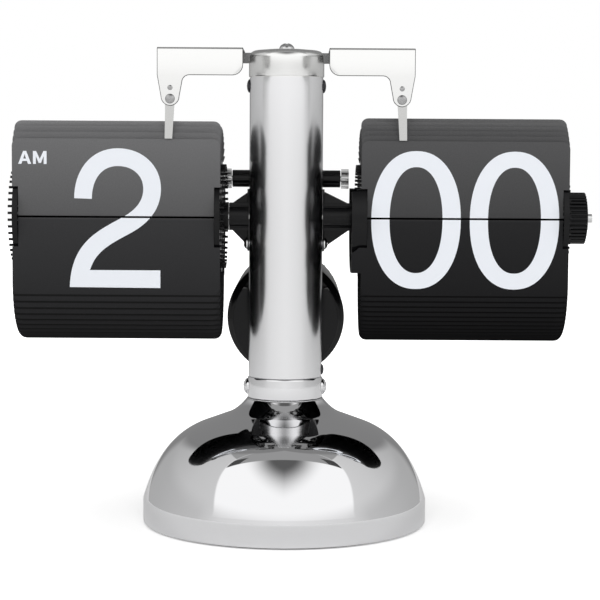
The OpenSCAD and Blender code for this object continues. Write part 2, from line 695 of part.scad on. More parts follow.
motor_face = middle_x + gear_t + 0.8;
module motor_pinion() color(brass) at_motor(middle_x - 0.4) rotate(motor_turn)
  flat_gear(pinion_n, arbor_r + seat_gap, gear_t + 0.8);
module motor_shaft() color(steel) at_motor(middle_x - 0.8)
  cylinder(r = arbor_r, h = motor_face + 3 - middle_x);
module motor_can() color(steel) at_motor(motor_face) difference() {
  cylinder(r = motor_d / 2, h = case_w / 2 - case_t - 0.1 - motor_face);
  translate([0, 0, -1]) cylinder(r = arbor_r + run_gap, h = 4);
}

module gear_case() color(black) difference() {
  translate([-case_w / 2, case_y0, case_z0]) cube([case_w, case_y - case_y0, case_z1 - case_z0]);
  translate([case_t - case_w / 2, 0, case_z0 + case_t])
    cube([case_w - 2 * case_t, case_y + 1, case_z1 - case_z0 - 2 * case_t]);
  translate([0, 0, case_z0 - 1]) cylinder(r = post_r + seat_gap, h = case_z1 - case_z0 + 2);
  at_transfer(-case_w) cylinder(r = sleeve_r + seat_gap, h = 2 * case_w);
  at_middle(-arbor_half - 0.1) cylinder(r = arbor_r + run_gap, h = 2 * arbor_half + 0.2);
}

module gear_case_cover() color(black) difference() {
  union() {
    translate([-case_w / 2, case_y, case_z0]) cube([case_w, cover_t, case_z1 - case_z0]);
    translate([case_t + 0.1 - case_w / 2, case_y - cover_lip, case_z0 + case_t + 0.1])
      cube([case_w - 2 * case_t - 0.2, cover_lip + 0.1, case_z1 - case_z0 - 2 * case_t - 0.2]);
  }
  cover_holes() cylinder(r = small_screw_r + seat_gap, h = 2 * cover_screw_l, center = true);
}

module cover_holes() for (x = [-1, 1], z = [case_z0 + cover_screw_in, case_z1 - cover_screw_in])
  translate([x * (case_w / 2 - cover_screw_in), case_y + cover_t, z]) rotate([-90, 0, 0]) children();

module cover_screws() color(steel) cover_holes() dome_screw(small_head_r, 0.9, small_screw_r, cover_screw_l);

module battery_barrel() color(black) translate([0, 0, barrel_h]) {
  barrel_shell();
  for (a = [45 : 90 : 315]) rotate([0, a, 0])
    translate([cell_d / 2 + cell_gap, contact_y - 0.05, -rib_w / 2])
    cube([barrel_r - barrel_t / 2 - cell_d / 2 - cell_gap, cell_l, rib_w]);
}

// Barrel with its front rim and the saddle that sits on the post
module barrel_shell() difference() {
  union() {
    rotate([-90, 0, 0]) rotate_extrude() polygon([[0, barrel_y0], [barrel_r - barrel_rim, barrel_y0],
      [barrel_r, barrel_y0 + barrel_rim], [barrel_r, door_y], [0, door_y]]);
    intersection() {
      rod_y(saddle_y0, barrel_y0 + 0.1, barrel_r - barrel_rim);
      translate([-barrel_r, 0, saddle_top - barrel_d]) cube([barrel_d, barrel_d, barrel_d]);
    }
  }
  translate([0, 0, -barrel_d]) cylinder(r = post_r + seat_gap, h = 2 * barrel_d);
  translate([0, 0, post_bottom - barrel_h - barrel_d])
    cylinder(r = collar_r + end_gap, h = barrel_d + end_gap);
  rod_y(contact_y, door_y + 1, barrel_r - barrel_t);
}

module battery_door() color(black) translate([0, 0, barrel_h]) difference() {
  union() {
    translate([0, door_y + end_gap / 2, 0]) rotate([-90, 0, 0]) linear_extrude(door_l)
      polygon(ribbed(barrel_r, 0.6, door_ribs));
    rod_y(door_y - 3, door_y + end_gap / 2 + 0.1, barrel_r - barrel_t - end_gap);
  }
  rod_y(door_y - 4, door_floor, barrel_r - barrel_t - 3);
  translate([-barrel_r / 2, door_y + door_l - 1, -1.2]) cube([barrel_r, door_l, 2.4]);
}

module battery_cell() color(steel) translate([0, 0, barrel_h]) {
  rotate([-90, 0, 0]) rotate_extrude() polygon([[0, cell_y0 - 1.5], [4.6, cell_y0 - 1.5], [4.6, cell_y0],
    [cell_d / 2 - 1, cell_y0], [cell_d / 2, cell_y0 + 1], [cell_d / 2, cell_y0 + cell_l - 1],
    [cell_d / 2 - 1, cell_y0 + cell_l], [0, cell_y0 + cell_l]]);
}

module contact_plate() color(brass) translate([0, 0, barrel_h]) rod_y(contact_y, contact_y + contact_t, 8);

module contact_spring() color(steel) translate([0, 0, barrel_h]) difference() {
  rod_y(cell_y0 + cell_l + seat_gap, door_floor, 6);
  rod_y(cell_y0 + cell_l - 1, door_floor + 1, 5);
}

base_shell();
base_plate();
base_pad();
base_screws();
post_bolt();
post_nut();
lower_collar();
collar_screws();
collar_set_screw();
post_tube();
post_cap();
cap_screw();
cap_side_screws();
bridge_bar();
left_arm();
right_arm();
left_finger();
right_finger();
finger_screws();
finger_rivets();
arm_screws();
left_bracket();
right_bracket();
bracket_screws();
main_axle();
axle_clip();
drive_gear();
hour_wheel_outer();
hour_wheel_inner();
hour_core();
minute_wheel_outer();
minute_wheel_inner();
minute_core();
setting_knob();
hour_leaves();
hour_front_leaf();
minute_leaves();
minute_front_leaf();
transfer_shaft();
transfer_sleeve();
hour_pinion();
carry_pinion();
middle_arbor();
middle_pinion();
middle_gear();
motor_can();
motor_shaft();
motor_pinion();
gear_case();
gear_case_cover();
cover_screws();
battery_barrel();
battery_door();
battery_cell();
contact_plate();
contact_spring();
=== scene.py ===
# %% [markdown]
# A flip number clock: two drums of hinged number leaves on one axle, held by a chrome post on a domed
# base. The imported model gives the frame, and every piece made here is placed by it, in metres, so that no
# piece has to be fitted by eye.

# %% Load the frame
import json
import math

import bmesh
import bpy
from mathutils import Euler, Matrix, Vector


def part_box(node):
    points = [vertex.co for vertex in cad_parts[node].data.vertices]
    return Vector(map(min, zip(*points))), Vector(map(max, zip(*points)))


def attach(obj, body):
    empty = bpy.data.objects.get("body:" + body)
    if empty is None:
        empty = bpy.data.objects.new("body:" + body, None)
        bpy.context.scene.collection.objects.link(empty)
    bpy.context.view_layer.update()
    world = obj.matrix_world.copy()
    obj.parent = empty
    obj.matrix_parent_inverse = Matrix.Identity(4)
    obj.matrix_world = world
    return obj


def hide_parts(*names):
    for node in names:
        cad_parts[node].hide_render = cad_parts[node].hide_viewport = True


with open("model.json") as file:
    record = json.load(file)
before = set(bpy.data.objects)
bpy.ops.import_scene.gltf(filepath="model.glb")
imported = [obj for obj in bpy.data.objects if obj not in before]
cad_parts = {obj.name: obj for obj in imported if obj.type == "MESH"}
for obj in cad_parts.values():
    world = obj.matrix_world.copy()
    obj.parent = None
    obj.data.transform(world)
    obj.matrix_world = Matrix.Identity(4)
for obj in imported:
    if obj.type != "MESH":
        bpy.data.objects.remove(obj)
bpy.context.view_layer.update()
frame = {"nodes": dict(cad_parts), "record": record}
MM = 0.001
nodes = frame["nodes"]
body_of = {node: body for body, held in frame["record"]["behaviour"]["bodies"].items() for node in held}
slot_of = {row["node"]: row["material_slot"] for row in frame["record"]["subparts"]}

# %% [markdown]
# The camera stands about 0.64 m in front, a little above the axle, and looks down by four degrees. A long
# lens keeps the two drums nearly square to the picture. The place was fitted to the clock's known sizes,
# and the small roll is a middle way between the tilts of its axle and its post.

# %% Camera
CAMERA_PLACE = Vector((5.2, -640, 127.9)) * MM
CAMERA_DROP = math.radians(4.3)
CAMERA_ROLL = math.radians(0.35)
camera_data = bpy.data.cameras.new("photo_camera")
camera_data.lens = 108
camera_data.sensor_width = 36
camera = bpy.data.objects.new("photo_camera", camera_data)
bpy.context.collection.objects.link(camera)
turn = Euler((math.pi / 2 - CAMERA_DROP, 0, 0)).to_matrix().to_4x4() @ Matrix.Rotation(CAMERA_ROLL, 4, "Z")
camera.matrix_world = Matrix.Translation(CAMERA_PLACE) @ turn
bpy.context.scene.camera = camera
print("camera at", [round(v, 3) for v in CAMERA_PLACE])

# %% [markdown]
# Helpers: a mesh object from a bmesh, and a lathe that turns a profile about the post's axis. A lathe is
# how the real base and post were made. A Screw modifier could do the same, but in code each ring is set
# exactly and joins to the next one without a seam.


# %% Mesh helpers
def piece(name, bm, material, body, smooth=True):
    bmesh.ops.recalc_face_normals(bm, faces=bm.faces)
    mesh = bpy.data.meshes.new(name)
    bm.to_mesh(mesh)
    bm.free()
    for face in mesh.polygons:
        face.use_smooth = smooth
    obj = bpy.data.objects.new(name, mesh)
    bpy.context.collection.objects.link(obj)
    mesh.materials.append(material)
    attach(obj, body)
    print(name, len(mesh.polygons), "faces on", body)
    return obj


def lathe(profile, sides=192):
    bm = bmesh.new()
    rings = []
    for r, z in profile:
        ring = []
        for k in range(sides):
            a = 2 * math.pi * k / sides
            ring.append(bm.verts.new((r * math.cos(a), r * math.sin(a), z)))
        rings.append(ring)
    count = len(rings)
    for i in range(count):
        low, high = rings[i], rings[(i + 1) % count]
        for k in range(sides):
            m = (k + 1) % sides
            bm.faces.new((low[k], low[m], high[m], high[k]))
    return bm


def bezier(p, q, r, s, steps):
    points = []
    for i in range(steps + 1):
        t = i / steps
        u = 1 - t
        w = (u ** 3, 3 * u * u * t, 3 * u * t * t, t ** 3)
        points.append(tuple(sum(c * v[j] for c, v in zip(w, (p, q, r, s))) for j in (0, 1)))
    return points


def arc(cx, cz, r, a0, a1, steps):
    points = []
    for i in range(steps + 1):
        a = math.radians(a0 + (a1 - a0) * i / steps)
        points.append((cx + r * math.cos(a), cz + r * math.sin(a)))
    return points


# %% [markdown]
# Materials come next. These helpers add a node and link it in one line each, so that a material reads
# from top to bottom like a recipe.


# %% Node helpers
def new_group(name, inputs, outputs):
    group = bpy.data.node_groups.new(name, "ShaderNodeTree")
    for label, kind, value in inputs:
        socket = group.interface.new_socket(label, in_out="INPUT", socket_type=kind)
        if value is not None:
            socket.default_value = value
    for label, kind in outputs:
        group.interface.new_socket(label, in_out="OUTPUT", socket_type=kind)
    ends = group.nodes.new("NodeGroupInput"), group.nodes.new("NodeGroupOutput")
    return group, ends[0], ends[1]


def math_node(tree, operation, a, b=0.0, c=0.0):
    node = tree.nodes.new("ShaderNodeMath")
    node.operation = operation
    for socket, value in zip(node.inputs, (a, b, c)):
        if isinstance(value, (int, float)):
            socket.default_value = value
        else:
            tree.links.new(value, socket)
    return node.outputs[0]


def noise_node(tree, vector, scale, detail=3):
    node = tree.nodes.new("ShaderNodeTexNoise")
    tree.links.new(vector, node.inputs["Vector"])
    if isinstance(scale, (int, float)):
        node.inputs["Scale"].default_value = scale
    else:
        tree.links.new(scale, node.inputs["Scale"])
    node.inputs["Detail"].default_value = detail
    return node.outputs["Fac"]


def ramp_node(tree, value, stops):
    node = tree.nodes.new("ShaderNodeValToRGB")
    while len(node.color_ramp.elements) < len(stops):
        node.color_ramp.elements.new(0.5)
    for element, (at, colour) in zip(node.color_ramp.elements, stops):
        element.position = at
        element.color = (*colour, 1)
    tree.links.new(value, node.inputs["Fac"])
    return node.outputs["Color"]


# %% [markdown]
# One shader group gives every surface its fine handling marks: a soft cloudy change of gloss and a fine
# grain. Each material could hold its own noise, but a group keeps them alike. It puts out a roughness and
# a bump height, and each material sets its own amounts.

# %% Handling marks
CLOUD_SCALE = 45.0


def build_marks():
    group, given, out = new_group(
        "handling_marks",
        [("Vector", "NodeSocketVector", None), ("Roughness", "NodeSocketFloat", 0.3),
         ("Cloud", "NodeSocketFloat", 0.1), ("Grain", "NodeSocketFloat", 0.2),
         ("Grain Scale", "NodeSocketFloat", 900.0)],
        [("Roughness", "NodeSocketFloat"), ("Height", "NodeSocketFloat")])
    cloud = noise_node(group, given.outputs["Vector"], CLOUD_SCALE)
    grain = noise_node(group, given.outputs["Vector"], given.outputs["Grain Scale"], 2)
    swing = math_node(group, "MULTIPLY", math_node(group, "SUBTRACT", cloud, 0.5), given.outputs["Cloud"])
    fine = math_node(group, "MULTIPLY", math_node(group, "SUBTRACT", grain, 0.5), given.outputs["Grain"])
    total = math_node(group, "ADD", math_node(group, "ADD", given.outputs["Roughness"], swing), fine)
    group.links.new(total, out.inputs["Roughness"])
    group.links.new(grain, out.inputs["Height"])
    return group


MARKS = build_marks()
BUMP_DEPTH = 0.02 * MM
print("handling marks:", len(MARKS.nodes), "nodes")


# %% A finish with marks
def finish_material(name, color, metallic, roughness, cloud=0.05, grain=0.05, grain_scale=900.0,
                    stretch=(1, 1, 1), bump=0.0, specular=0.5):
    material = bpy.data.materials.new(name)
    material.use_nodes = True
    tree = material.node_tree
    shader = tree.nodes["Principled BSDF"]
    shader.inputs["Base Color"].default_value = (*color, 1)
    shader.inputs["Metallic"].default_value = metallic
    shader.inputs["Specular IOR Level"].default_value = specular
    place = tree.nodes.new("ShaderNodeTexCoord")
    mapping = tree.nodes.new("ShaderNodeMapping")
    mapping.inputs["Scale"].default_value = stretch
    tree.links.new(place.outputs["Object"], mapping.inputs["Vector"])
    marks = tree.nodes.new("ShaderNodeGroup")
    marks.node_tree = MARKS
    tree.links.new(mapping.outputs["Vector"], marks.inputs["Vector"])
    marks.inputs["Roughness"].default_value = roughness
    marks.inputs["Cloud"].default_value = cloud
    marks.inputs["Grain"].default_value = grain
    marks.inputs["Grain Scale"].default_value = grain_scale
    tree.links.new(marks.outputs["Roughness"], shader.inputs["Roughness"])
    if bump:
        relief = tree.nodes.new("ShaderNodeBump")
        relief.inputs["Strength"].default_value = bump
        relief.inputs["Distance"].default_value = BUMP_DEPTH
        tree.links.new(marks.outputs["Height"], relief.inputs["Height"])
        tree.links.new(relief.outputs["Normal"], shader.inputs["Normal"])
    return material


# %% [markdown]
# The dome's chrome is nearly a mirror, the collar's is a little softer and the tube's softer still. The
# cap is turned with a satin finish, and the arms are polished sheet. The satin's grain is stretched round
# the post, as a lathe leaves it, and the tube's runs along it, as drawing leaves it. Noise on Object
# coordinates has no seams and needs no picture files.

# %% Metal finishes
LENGTHWISE = (1, 1, 0.05)
ROUND_THE_POST = (0.15, 0.15, 4)
chrome = finish_material("mirror_chrome", (0.80, 0.80, 0.81), metallic=1, roughness=0.03, cloud=0.02,
                         grain=0.01)
drawn_chrome = finish_material("drawn_chrome", (0.80, 0.80, 0.81), metallic=1, roughness=0.09, cloud=0.03,
                               grain=0.02, stretch=LENGTHWISE)
tube_chrome = finish_material("tube_chrome", (0.84, 0.84, 0.85), metallic=1, roughness=0.24, cloud=0.03,
                              grain=0.02, stretch=LENGTHWISE)
satin = finish_material("satin_turned_steel", (0.88, 0.88, 0.87), metallic=1, roughness=0.24, cloud=0.04,
                        grain=0.1, grain_scale=700, stretch=ROUND_THE_POST, bump=0.2)
sheet = finish_material("arm_sheet", (0.86, 0.86, 0.85), metallic=1, roughness=0.16, cloud=0.04, grain=0.08,
                        stretch=(0.1, 1, 3), bump=0.1)
spring = finish_material("spring_strip", (0.62, 0.62, 0.61), metallic=1, roughness=0.25, cloud=0.06,
                         grain=0.1, stretch=(3, 1, 0.1), bump=0.15)
# Painted dark reflection: a dark grey for the arms' bevelled edges.
painted_dark_edge = finish_material("arm_edge_painted_dark", (0.1, 0.1, 0.1), metallic=1, roughness=0.3, cloud=0.06, grain=0.1)
steel = finish_material("turned_steel", (0.70, 0.70, 0.70), metallic=1, roughness=0.16, cloud=0.06,
                        grain=0.08)
screw_steel = finish_material("screw_steel", (0.42, 0.42, 0.42), metallic=1, roughness=0.22, cloud=0.06,
                              grain=0.08)
bar_grey = finish_material("bar_grey", (0.2, 0.2, 0.2), metallic=0.9, roughness=0.35, cloud=0.06, grain=0.1)
brass = finish_material("stamped_brass", (0.72, 0.52, 0.22), metallic=1, roughness=0.28, cloud=0.08,
                        grain=0.08)
black_metal = finish_material("black_oxide", (0.05, 0.05, 0.055), metallic=0.7, roughness=0.3, cloud=0.1,
                              grain=0.1)
print("materials so far:", len(bpy.data.materials))

# %% [markdown]
# Three finishes have no metal in them: the slightly glossy black moulding of the wheels and brackets, the
# foam under the foot, and the white ink of the numbers, which stays a little off white so that it won't
# clip.

# %% Plastic, foam and ink
plastic = finish_material("black_moulding", (0.004, 0.004, 0.0045), metallic=0, roughness=0.15, cloud=0.06,
                          grain=0.04, grain_scale=1400, bump=0.05, specular=0.2)
foam = finish_material("foot_foam", (0.02, 0.02, 0.02), metallic=0, roughness=0.8, cloud=0.1, grain=0.15,
                       grain_scale=1600, bump=0.5)
white = finish_material("number_white", (0.74, 0.765, 0.81), metallic=0, roughness=0.45, cloud=0.06,
                        grain=0.05, grain_scale=1500, bump=0.1)
print("materials so far:", len(bpy.data.materials))

# %% [markdown]
# The leaves are one satin black sheet, with light and shade painted into its colour by height. The upper ones
# catch the light from above, so they are painted as a grey that brightens towards the top edge. The lower
# ones are painted darker as shade, so their colour follows the height above the axle. Below the axle each
# leaf hangs a little lower than the one in front of it, and a narrow painted shadow line lies under every
# lower edge. Every leaf could have a material of its own, but one ramp by height serves them all.

# %% Leaf finish
axle_lo, axle_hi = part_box("main_axle")
AXLE_Z = (axle_lo.z + axle_hi.z) / 2
LEAF_REACH = 45 * MM
LEAF_LENGTH = 25.75 * MM
HINGE_R = 18.0 * MM
# Painted shadow lines under the leaf edges: the share of each step that is dark, and how dark it is.
SHADOW_LINE_SHARE = 0.3
SHADOW_LINE_DEPTH = 0.8
SPECKLE = (0.82, 0.36)
# Painted light and shade by height: near black at the bottom, dark below the axle, and a lighter grey above
# it up to the top edge.
LEAF_LIGHT_AND_SHADE = [
    (0.0, (0.006, 0.006, 0.0065)), (0.18, (0.014, 0.014, 0.015)), (0.21, (0.017, 0.017, 0.018)),
    (0.49, (0.03, 0.03, 0.0315)), (0.51, (0.088, 0.088, 0.09)), (0.8, (0.14, 0.14, 0.143)),
    (0.84, (0.145, 0.145, 0.148)), (0.87, (0.2, 0.2, 0.203))]


# Painted shadow: a dark line under each hanging leaf's lower edge, spaced by the drum's step, where the leaf
# in front shades the one behind.
def painted_edge_shadows(tree, height, step):
    below = math_node(tree, "SUBTRACT", AXLE_Z - LEAF_LENGTH, height)
    sine = math_node(tree, "MINIMUM", math_node(tree, "MULTIPLY", below, 1 / HINGE_R), 1.0)
    count = math_node(tree, "MULTIPLY_ADD", math_node(tree, "ARCSINE", sine), 180 / math.pi / step, -0.5)
    line = math_node(tree, "LESS_THAN", math_node(tree, "FRACT", count), SHADOW_LINE_SHARE)
    return math_node(tree, "MULTIPLY", line, math_node(tree, "GREATER_THAN", count, 0.0))


def leaf_material(name, step, depth, specular):
    material = finish_material(name, (0.03, 0.03, 0.033), metallic=0, roughness=0.42, cloud=0.08, grain=0.12,
                               grain_scale=2600, bump=0.35, specular=specular)
    tree = material.node_tree
    shader = tree.nodes["Principled BSDF"]
    place = next(n for n in tree.nodes if n.bl_idname == "ShaderNodeTexCoord")
    marks = next(n for n in tree.nodes if n.bl_idname == "ShaderNodeGroup")
    split = tree.nodes.new("ShaderNodeSeparateXYZ")
    tree.links.new(place.outputs["Object"], split.inputs["Vector"])
    height = split.outputs["Z"]
    share = math_node(tree, "MULTIPLY_ADD", height, 0.5 / LEAF_REACH, 0.5 - 0.5 * AXLE_Z / LEAF_REACH)
    shade = ramp_node(tree, share, LEAF_LIGHT_AND_SHADE)
    least, swing = SPECKLE
    # depth sets the painted light level of the whole sheet, grain included.
    speckle = math_node(tree, "MULTIPLY_ADD", marks.outputs["Height"], swing * depth, least * depth)
    edge_shadows = math_node(tree, "MULTIPLY_ADD", painted_edge_shadows(tree, height, step), -SHADOW_LINE_DEPTH, 1.0)
    scaled = tree.nodes.new("ShaderNodeVectorMath")
    scaled.operation = "SCALE"
    tree.links.new(shade, scaled.inputs[0])
    tree.links.new(math_node(tree, "MULTIPLY", edge_shadows, speckle), scaled.inputs["Scale"])
    tree.links.new(scaled.outputs["Vector"], shader.inputs["Base Color"])
    print(name, "has a line every", step, "degrees")
    return material


HOUR_STEP = 7.5
MINUTE_STEP = 6.0
# Painted shade: the minute drum's copy of the sheet is painted darker as a whole, at depth 0.56 against the
# hour drum's 0.93.
hour_sheet = leaf_material("hour_leaf_sheet", HOUR_STEP, depth=0.93, specular=0.13)
minute_sheet_shaded = leaf_material("minute_leaf_sheet_shaded", MINUTE_STEP, depth=0.56, specular=0.06)

# %% [markdown]
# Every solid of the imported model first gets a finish. The record names a material slot for each node, so
# one table from slot to finish dresses nearly all of them, and a short second table holds the exceptions.

# %% Dress the solids by their slots
SLOT_FINISH = {
    "chrome": chrome, "satin_steel": satin, "polished_sheet": sheet, "spring_steel": spring, "steel": steel,
    "black_metal": black_metal, "black_plastic": plastic, "leaf_black": hour_sheet, "brass": brass,
    "pad_rubber": foam}
OWN_FINISH = {"minute_leaves": minute_sheet_shaded, "minute_front_leaf": minute_sheet_shaded, "finger_rivets": screw_steel,
              "bridge_bar": bar_grey}


def finish_of(name):
    return OWN_FINISH.get(name, SLOT_FINISH[slot_of[name]])


for name, obj in nodes.items():
    obj.data.materials.clear()
    obj.data.materials.append(finish_of(name))
print("dressed", len(nodes), "nodes")

# %% [markdown]
# Moulded, cast and pressed pieces have no razor edges: a narrow round along each edge catches the light.
# Each such node is copied, its loose triangles are merged, flat faces are joined and the sharp edges get a
# bevel. The arms are sheared from sheet, and their narrow edges are painted a dark grey as a painted dark
# reflection, so they read darker than their faces: a bevel made in bmesh, unlike the modifier, can give just
# its own faces that second finish and leave the rest.
# The brackets are cut off flat where they meet the side of the post.


# %% Break the edges of a node
SAME_POINT = 0.002 * MM
AT_THE_BOX = 0.01 * MM
FLAT = math.radians(0.4)
SHARP = math.radians(28)
SMOOTH_TO = math.radians(18)


def cut_flat(bm, x):
    side = Vector((math.copysign(1, x), 0, 0))
    everything = bm.verts[:] + bm.edges[:] + bm.faces[:]
    cut = bmesh.ops.bisect_plane(bm, geom=everything, plane_co=(x, 0, 0), plane_no=side, clear_inner=True)
    rim = [g for g in cut["geom_cut"] if isinstance(g, bmesh.types.BMEdge)]
    bmesh.ops.triangle_fill(bm, use_beauty=True, edges=rim)


def round_fold(bm, name, radius):
    lo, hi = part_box(name)

    def on_fold(v):
        return v.co.z > hi.z - AT_THE_BOX and v.co.y < lo.y + AT_THE_BOX

    fold = [e for e in bm.edges if all(on_fold(v) for v in e.verts)]
    bmesh.ops.bevel(bm, geom=fold, offset=radius * MM, segments=6, profile=0.5, affect="EDGES")


def broken_edges(name, width, bend=0.0, edge=None, inner=None):
    bm = bmesh.new()
    bm.from_mesh(nodes[name].data)
    bmesh.ops.remove_doubles(bm, verts=bm.verts, dist=SAME_POINT)
    bmesh.ops.dissolve_limit(bm, angle_limit=FLAT, verts=bm.verts, edges=bm.edges)
    if inner:
        cut_flat(bm, inner)
    if bend:
        round_fold(bm, name, bend)
    edges = [e for e in bm.edges if len(e.link_faces) == 2 and e.calc_face_angle(0) > SHARP]
    bmesh.ops.bevel(bm, geom=edges, offset=width * MM, segments=2, profile=0.5, affect="EDGES",
                    clamp_overlap=edge is None, material=1 if edge else -1)
    bmesh.ops.triangulate(bm, faces=[f for f in bm.faces if len(f.verts) > 4])
    obj = piece(name + "_edged", bm, finish_of(name), body_of[name])
    obj.data.set_sharp_from_angle(angle=SMOOTH_TO)
    if edge:
        obj.data.materials.append(edge)
    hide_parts(name)


# %% Pieces with broken edges
EDGE_WIDTH = {"battery_barrel": 0.3, "battery_door": 0.2, "gear_case": 0.5, "gear_case_cover": 0.3,
              "bridge_bar": 0.2, "transfer_sleeve": 0.25}
ARM_EDGE = 0.22
ARM_FOLD = 0.8
BRACKET_EDGE = 0.2
POST_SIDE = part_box("post_tube")[1].x + 0.05 * MM
for name, width in EDGE_WIDTH.items():
    broken_edges(name, width)
for name in ("left_arm", "right_arm"):
    broken_edges(name, ARM_EDGE, bend=ARM_FOLD, edge=painted_dark_edge)
broken_edges("left_bracket", BRACKET_EDGE, inner=-POST_SIDE)
broken_edges("right_bracket", BRACKET_EDGE, inner=POST_SIDE)

# %% [markdown]
# The base is a spun shell with a mirror finish. Its skirt is upright, its dome rises in one curve, and a
# short flare runs up into the neck. A subdivided cage could make it too, but the lathe keeps every ring a
# true circle, and with many sides the reflections stay smooth.


# %% Base shell
def turned(profile, sides=192):
    return lathe([(r * MM, z * MM) for r, z in profile], sides)


shell_lo, shell_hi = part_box("base_shell")
base_r = shell_hi.x / MM
neck_h = shell_hi.z / MM
base_z = shell_lo.z / MM
collar_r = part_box("lower_collar")[1].x / MM
RIM_ROUND = 1
SKIRT_H = 9.0
SHOULDER_R = 20.4
SHOULDER_H = 39.2
SHELL_WALL = 1.6
dome = bezier((base_r, SKIRT_H), (base_r - 4.5, SKIRT_H + 16), (SHOULDER_R + 18, SHOULDER_H - 6.9),
              (SHOULDER_R + 9.6, SHOULDER_H - 3.6), 40)
flare = bezier((SHOULDER_R, SHOULDER_H), (SHOULDER_R - 2.6, SHOULDER_H + 1.0), (collar_r + 1.9, neck_h - 2.5),
               (collar_r + 0.1, neck_h), 16)
outer = arc(base_r - RIM_ROUND, base_z + RIM_ROUND, RIM_ROUND, -90, 0, 6)
outer += [(base_r, SKIRT_H - 1.2)] + dome + flare
inner = [(r - SHELL_WALL, z - SHELL_WALL) for r, z in reversed(dome + flare)]
inner += [(base_r - SHELL_WALL, base_z)]
base_piece = piece("base_dome", turned(outer + inner), chrome, "stand")
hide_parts("base_shell")

# %% [markdown]
# The post is a straight chrome tube, made again as a smooth lathe. Its rear window, where the train
# reaches in, is cut by leaving out the faces there and joining the two walls round the hole. A boolean
# would leave long thin triangles, which show in a mirror.

# %% Post tube
tube_lo, tube_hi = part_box("post_tube")
TUBE_WALL = 1.1 * MM
WINDOW_X = (-5.9 * MM, 4.6 * MM)
WINDOW_Z = (95.5 * MM, 116.5 * MM)


def post_mesh():
    heights = [tube_lo.z, WINDOW_Z[0], WINDOW_Z[1], tube_hi.z]
    outside = [(tube_hi.x, z) for z in heights]
    inside = [(tube_hi.x - TUBE_WALL, z) for z in reversed(heights)]
    bm = lathe(outside + inside)

    def in_window(face):
        c = face.calc_center_median()
        return c.y > 0 and WINDOW_X[0] < c.x < WINDOW_X[1] and WINDOW_Z[0] < c.z < WINDOW_Z[1]

    bmesh.ops.delete(bm, geom=[f for f in bm.faces if in_window(f)], context="FACES")
    rim = [e for e in bm.edges if e.is_boundary]
    bmesh.ops.bridge_loops(bm, edges=rim)
    return bm


post_piece = piece("post_tube_chrome", post_mesh(), tube_chrome, "stand")
post_piece.data.set_sharp_from_angle(angle=math.radians(30))
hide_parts("post_tube")

# %% [markdown]
# The cap is turned from one bar: a straight side with a fine groove at its foot, a well rounded shoulder
# and a slightly crowned top. The bar that carries the arms passes through it. All of it is round, so one
# profile on the lathe is enough.

# %% Post cap
cap_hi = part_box("post_cap")[1]
cap_r = cap_hi.x / MM
cap_top = cap_hi.z / MM
cap_foot = tube_hi.z / MM
CAP_ROUND = 2.6
CROWN = 0.5
GROOVE = 0.5
AXIS_R = 0.05
TURNED_EDGE = math.radians(35)
groove = [(AXIS_R, cap_foot), (cap_r - GROOVE, cap_foot), (cap_r - GROOVE, cap_foot + 0.3),
          (cap_r - 0.1, cap_foot + 0.4), (cap_r, cap_foot + 0.6)]
shoulder = arc(cap_r - CAP_ROUND, cap_top - CROWN - CAP_ROUND, CAP_ROUND, 0, 80, 10)
crown = [(cap_r * 0.5, cap_top - 0.12), (AXIS_R, cap_top)]
cap_piece = piece("post_cap_turned", turned(groove + shoulder + crown), satin, "stand")
cap_piece.data.set_sharp_from_angle(angle=TURNED_EDGE)
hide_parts("post_cap")

# %% [markdown]
# The collar under the post is turned in the same way. Its two outer edges are rounded, and a spigot on
# its top centres the tube.

# %% Collar
collar_lo, collar_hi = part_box("lower_collar")
COLLAR_ROUND = 0.6
COLLAR_TOP_ROUND = 1
BOLT_HOLE = 2.1
SPIGOT_PLAY = 0.02
spigot_r = (tube_hi.x - TUBE_WALL) / MM - SPIGOT_PLAY
spigot_top = collar_hi.z / MM
collar_top = tube_lo.z / MM
collar_foot = collar_lo.z / MM
collar_line = [(BOLT_HOLE, collar_foot)]
collar_line += arc(collar_r - COLLAR_ROUND, collar_foot + COLLAR_ROUND, COLLAR_ROUND, -90, 0, 8)
collar_line += arc(collar_r - COLLAR_TOP_ROUND, collar_top - COLLAR_TOP_ROUND, COLLAR_TOP_ROUND, 0, 90, 8)
collar_line += [(spigot_r, collar_top), (spigot_r, spigot_top), (BOLT_HOLE, spigot_top)]
collar_piece = piece("lower_collar_turned", turned(collar_line), drawn_chrome, "stand")
collar_piece.data.set_sharp_from_angle(angle=TURNED_EDGE)
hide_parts("lower_collar")

# %% [markdown]
# Screws repeat all over the clock. Copies could be placed by hand, but Geometry Nodes keep one shape for
# all of them. These helpers set up a tree with named inputs for its sizes, and close it with real meshes
# in one finish, because the export drops instances.


# %% Tree helpers
def node_in(tree, kind, **links):
    node = tree.nodes.new(kind)
    for label, value in links.items():
        socket = node.inputs[label.replace("_", " ")]
        if isinstance(value, bpy.types.NodeSocket):
            tree.links.new(value, socket)
        else:
            socket.default_value = value
    return node


def new_tree(name, inputs):
    tree = bpy.data.node_groups.new(name, "GeometryNodeTree")
    tree.interface.new_socket("Geometry", in_out="OUTPUT", socket_type="NodeSocketGeometry")
    tree.interface.new_socket("Geometry", in_out="INPUT", socket_type="NodeSocketGeometry")
    for label, kind in inputs:
        tree.interface.new_socket(label, in_out="INPUT", socket_type=kind)
    return tree, tree.nodes.new("NodeGroupInput").outputs, tree.nodes.new("NodeGroupOutput").inputs


def close_tree(tree, shape, given, out):
    real = node_in(tree, "GeometryNodeRealizeInstances", Geometry=shape)
    done = node_in(tree, "GeometryNodeSetMaterial", Geometry=real.outputs[0], Material=given["Finish"])
    tree.links.new(done.outputs[0], out[0])


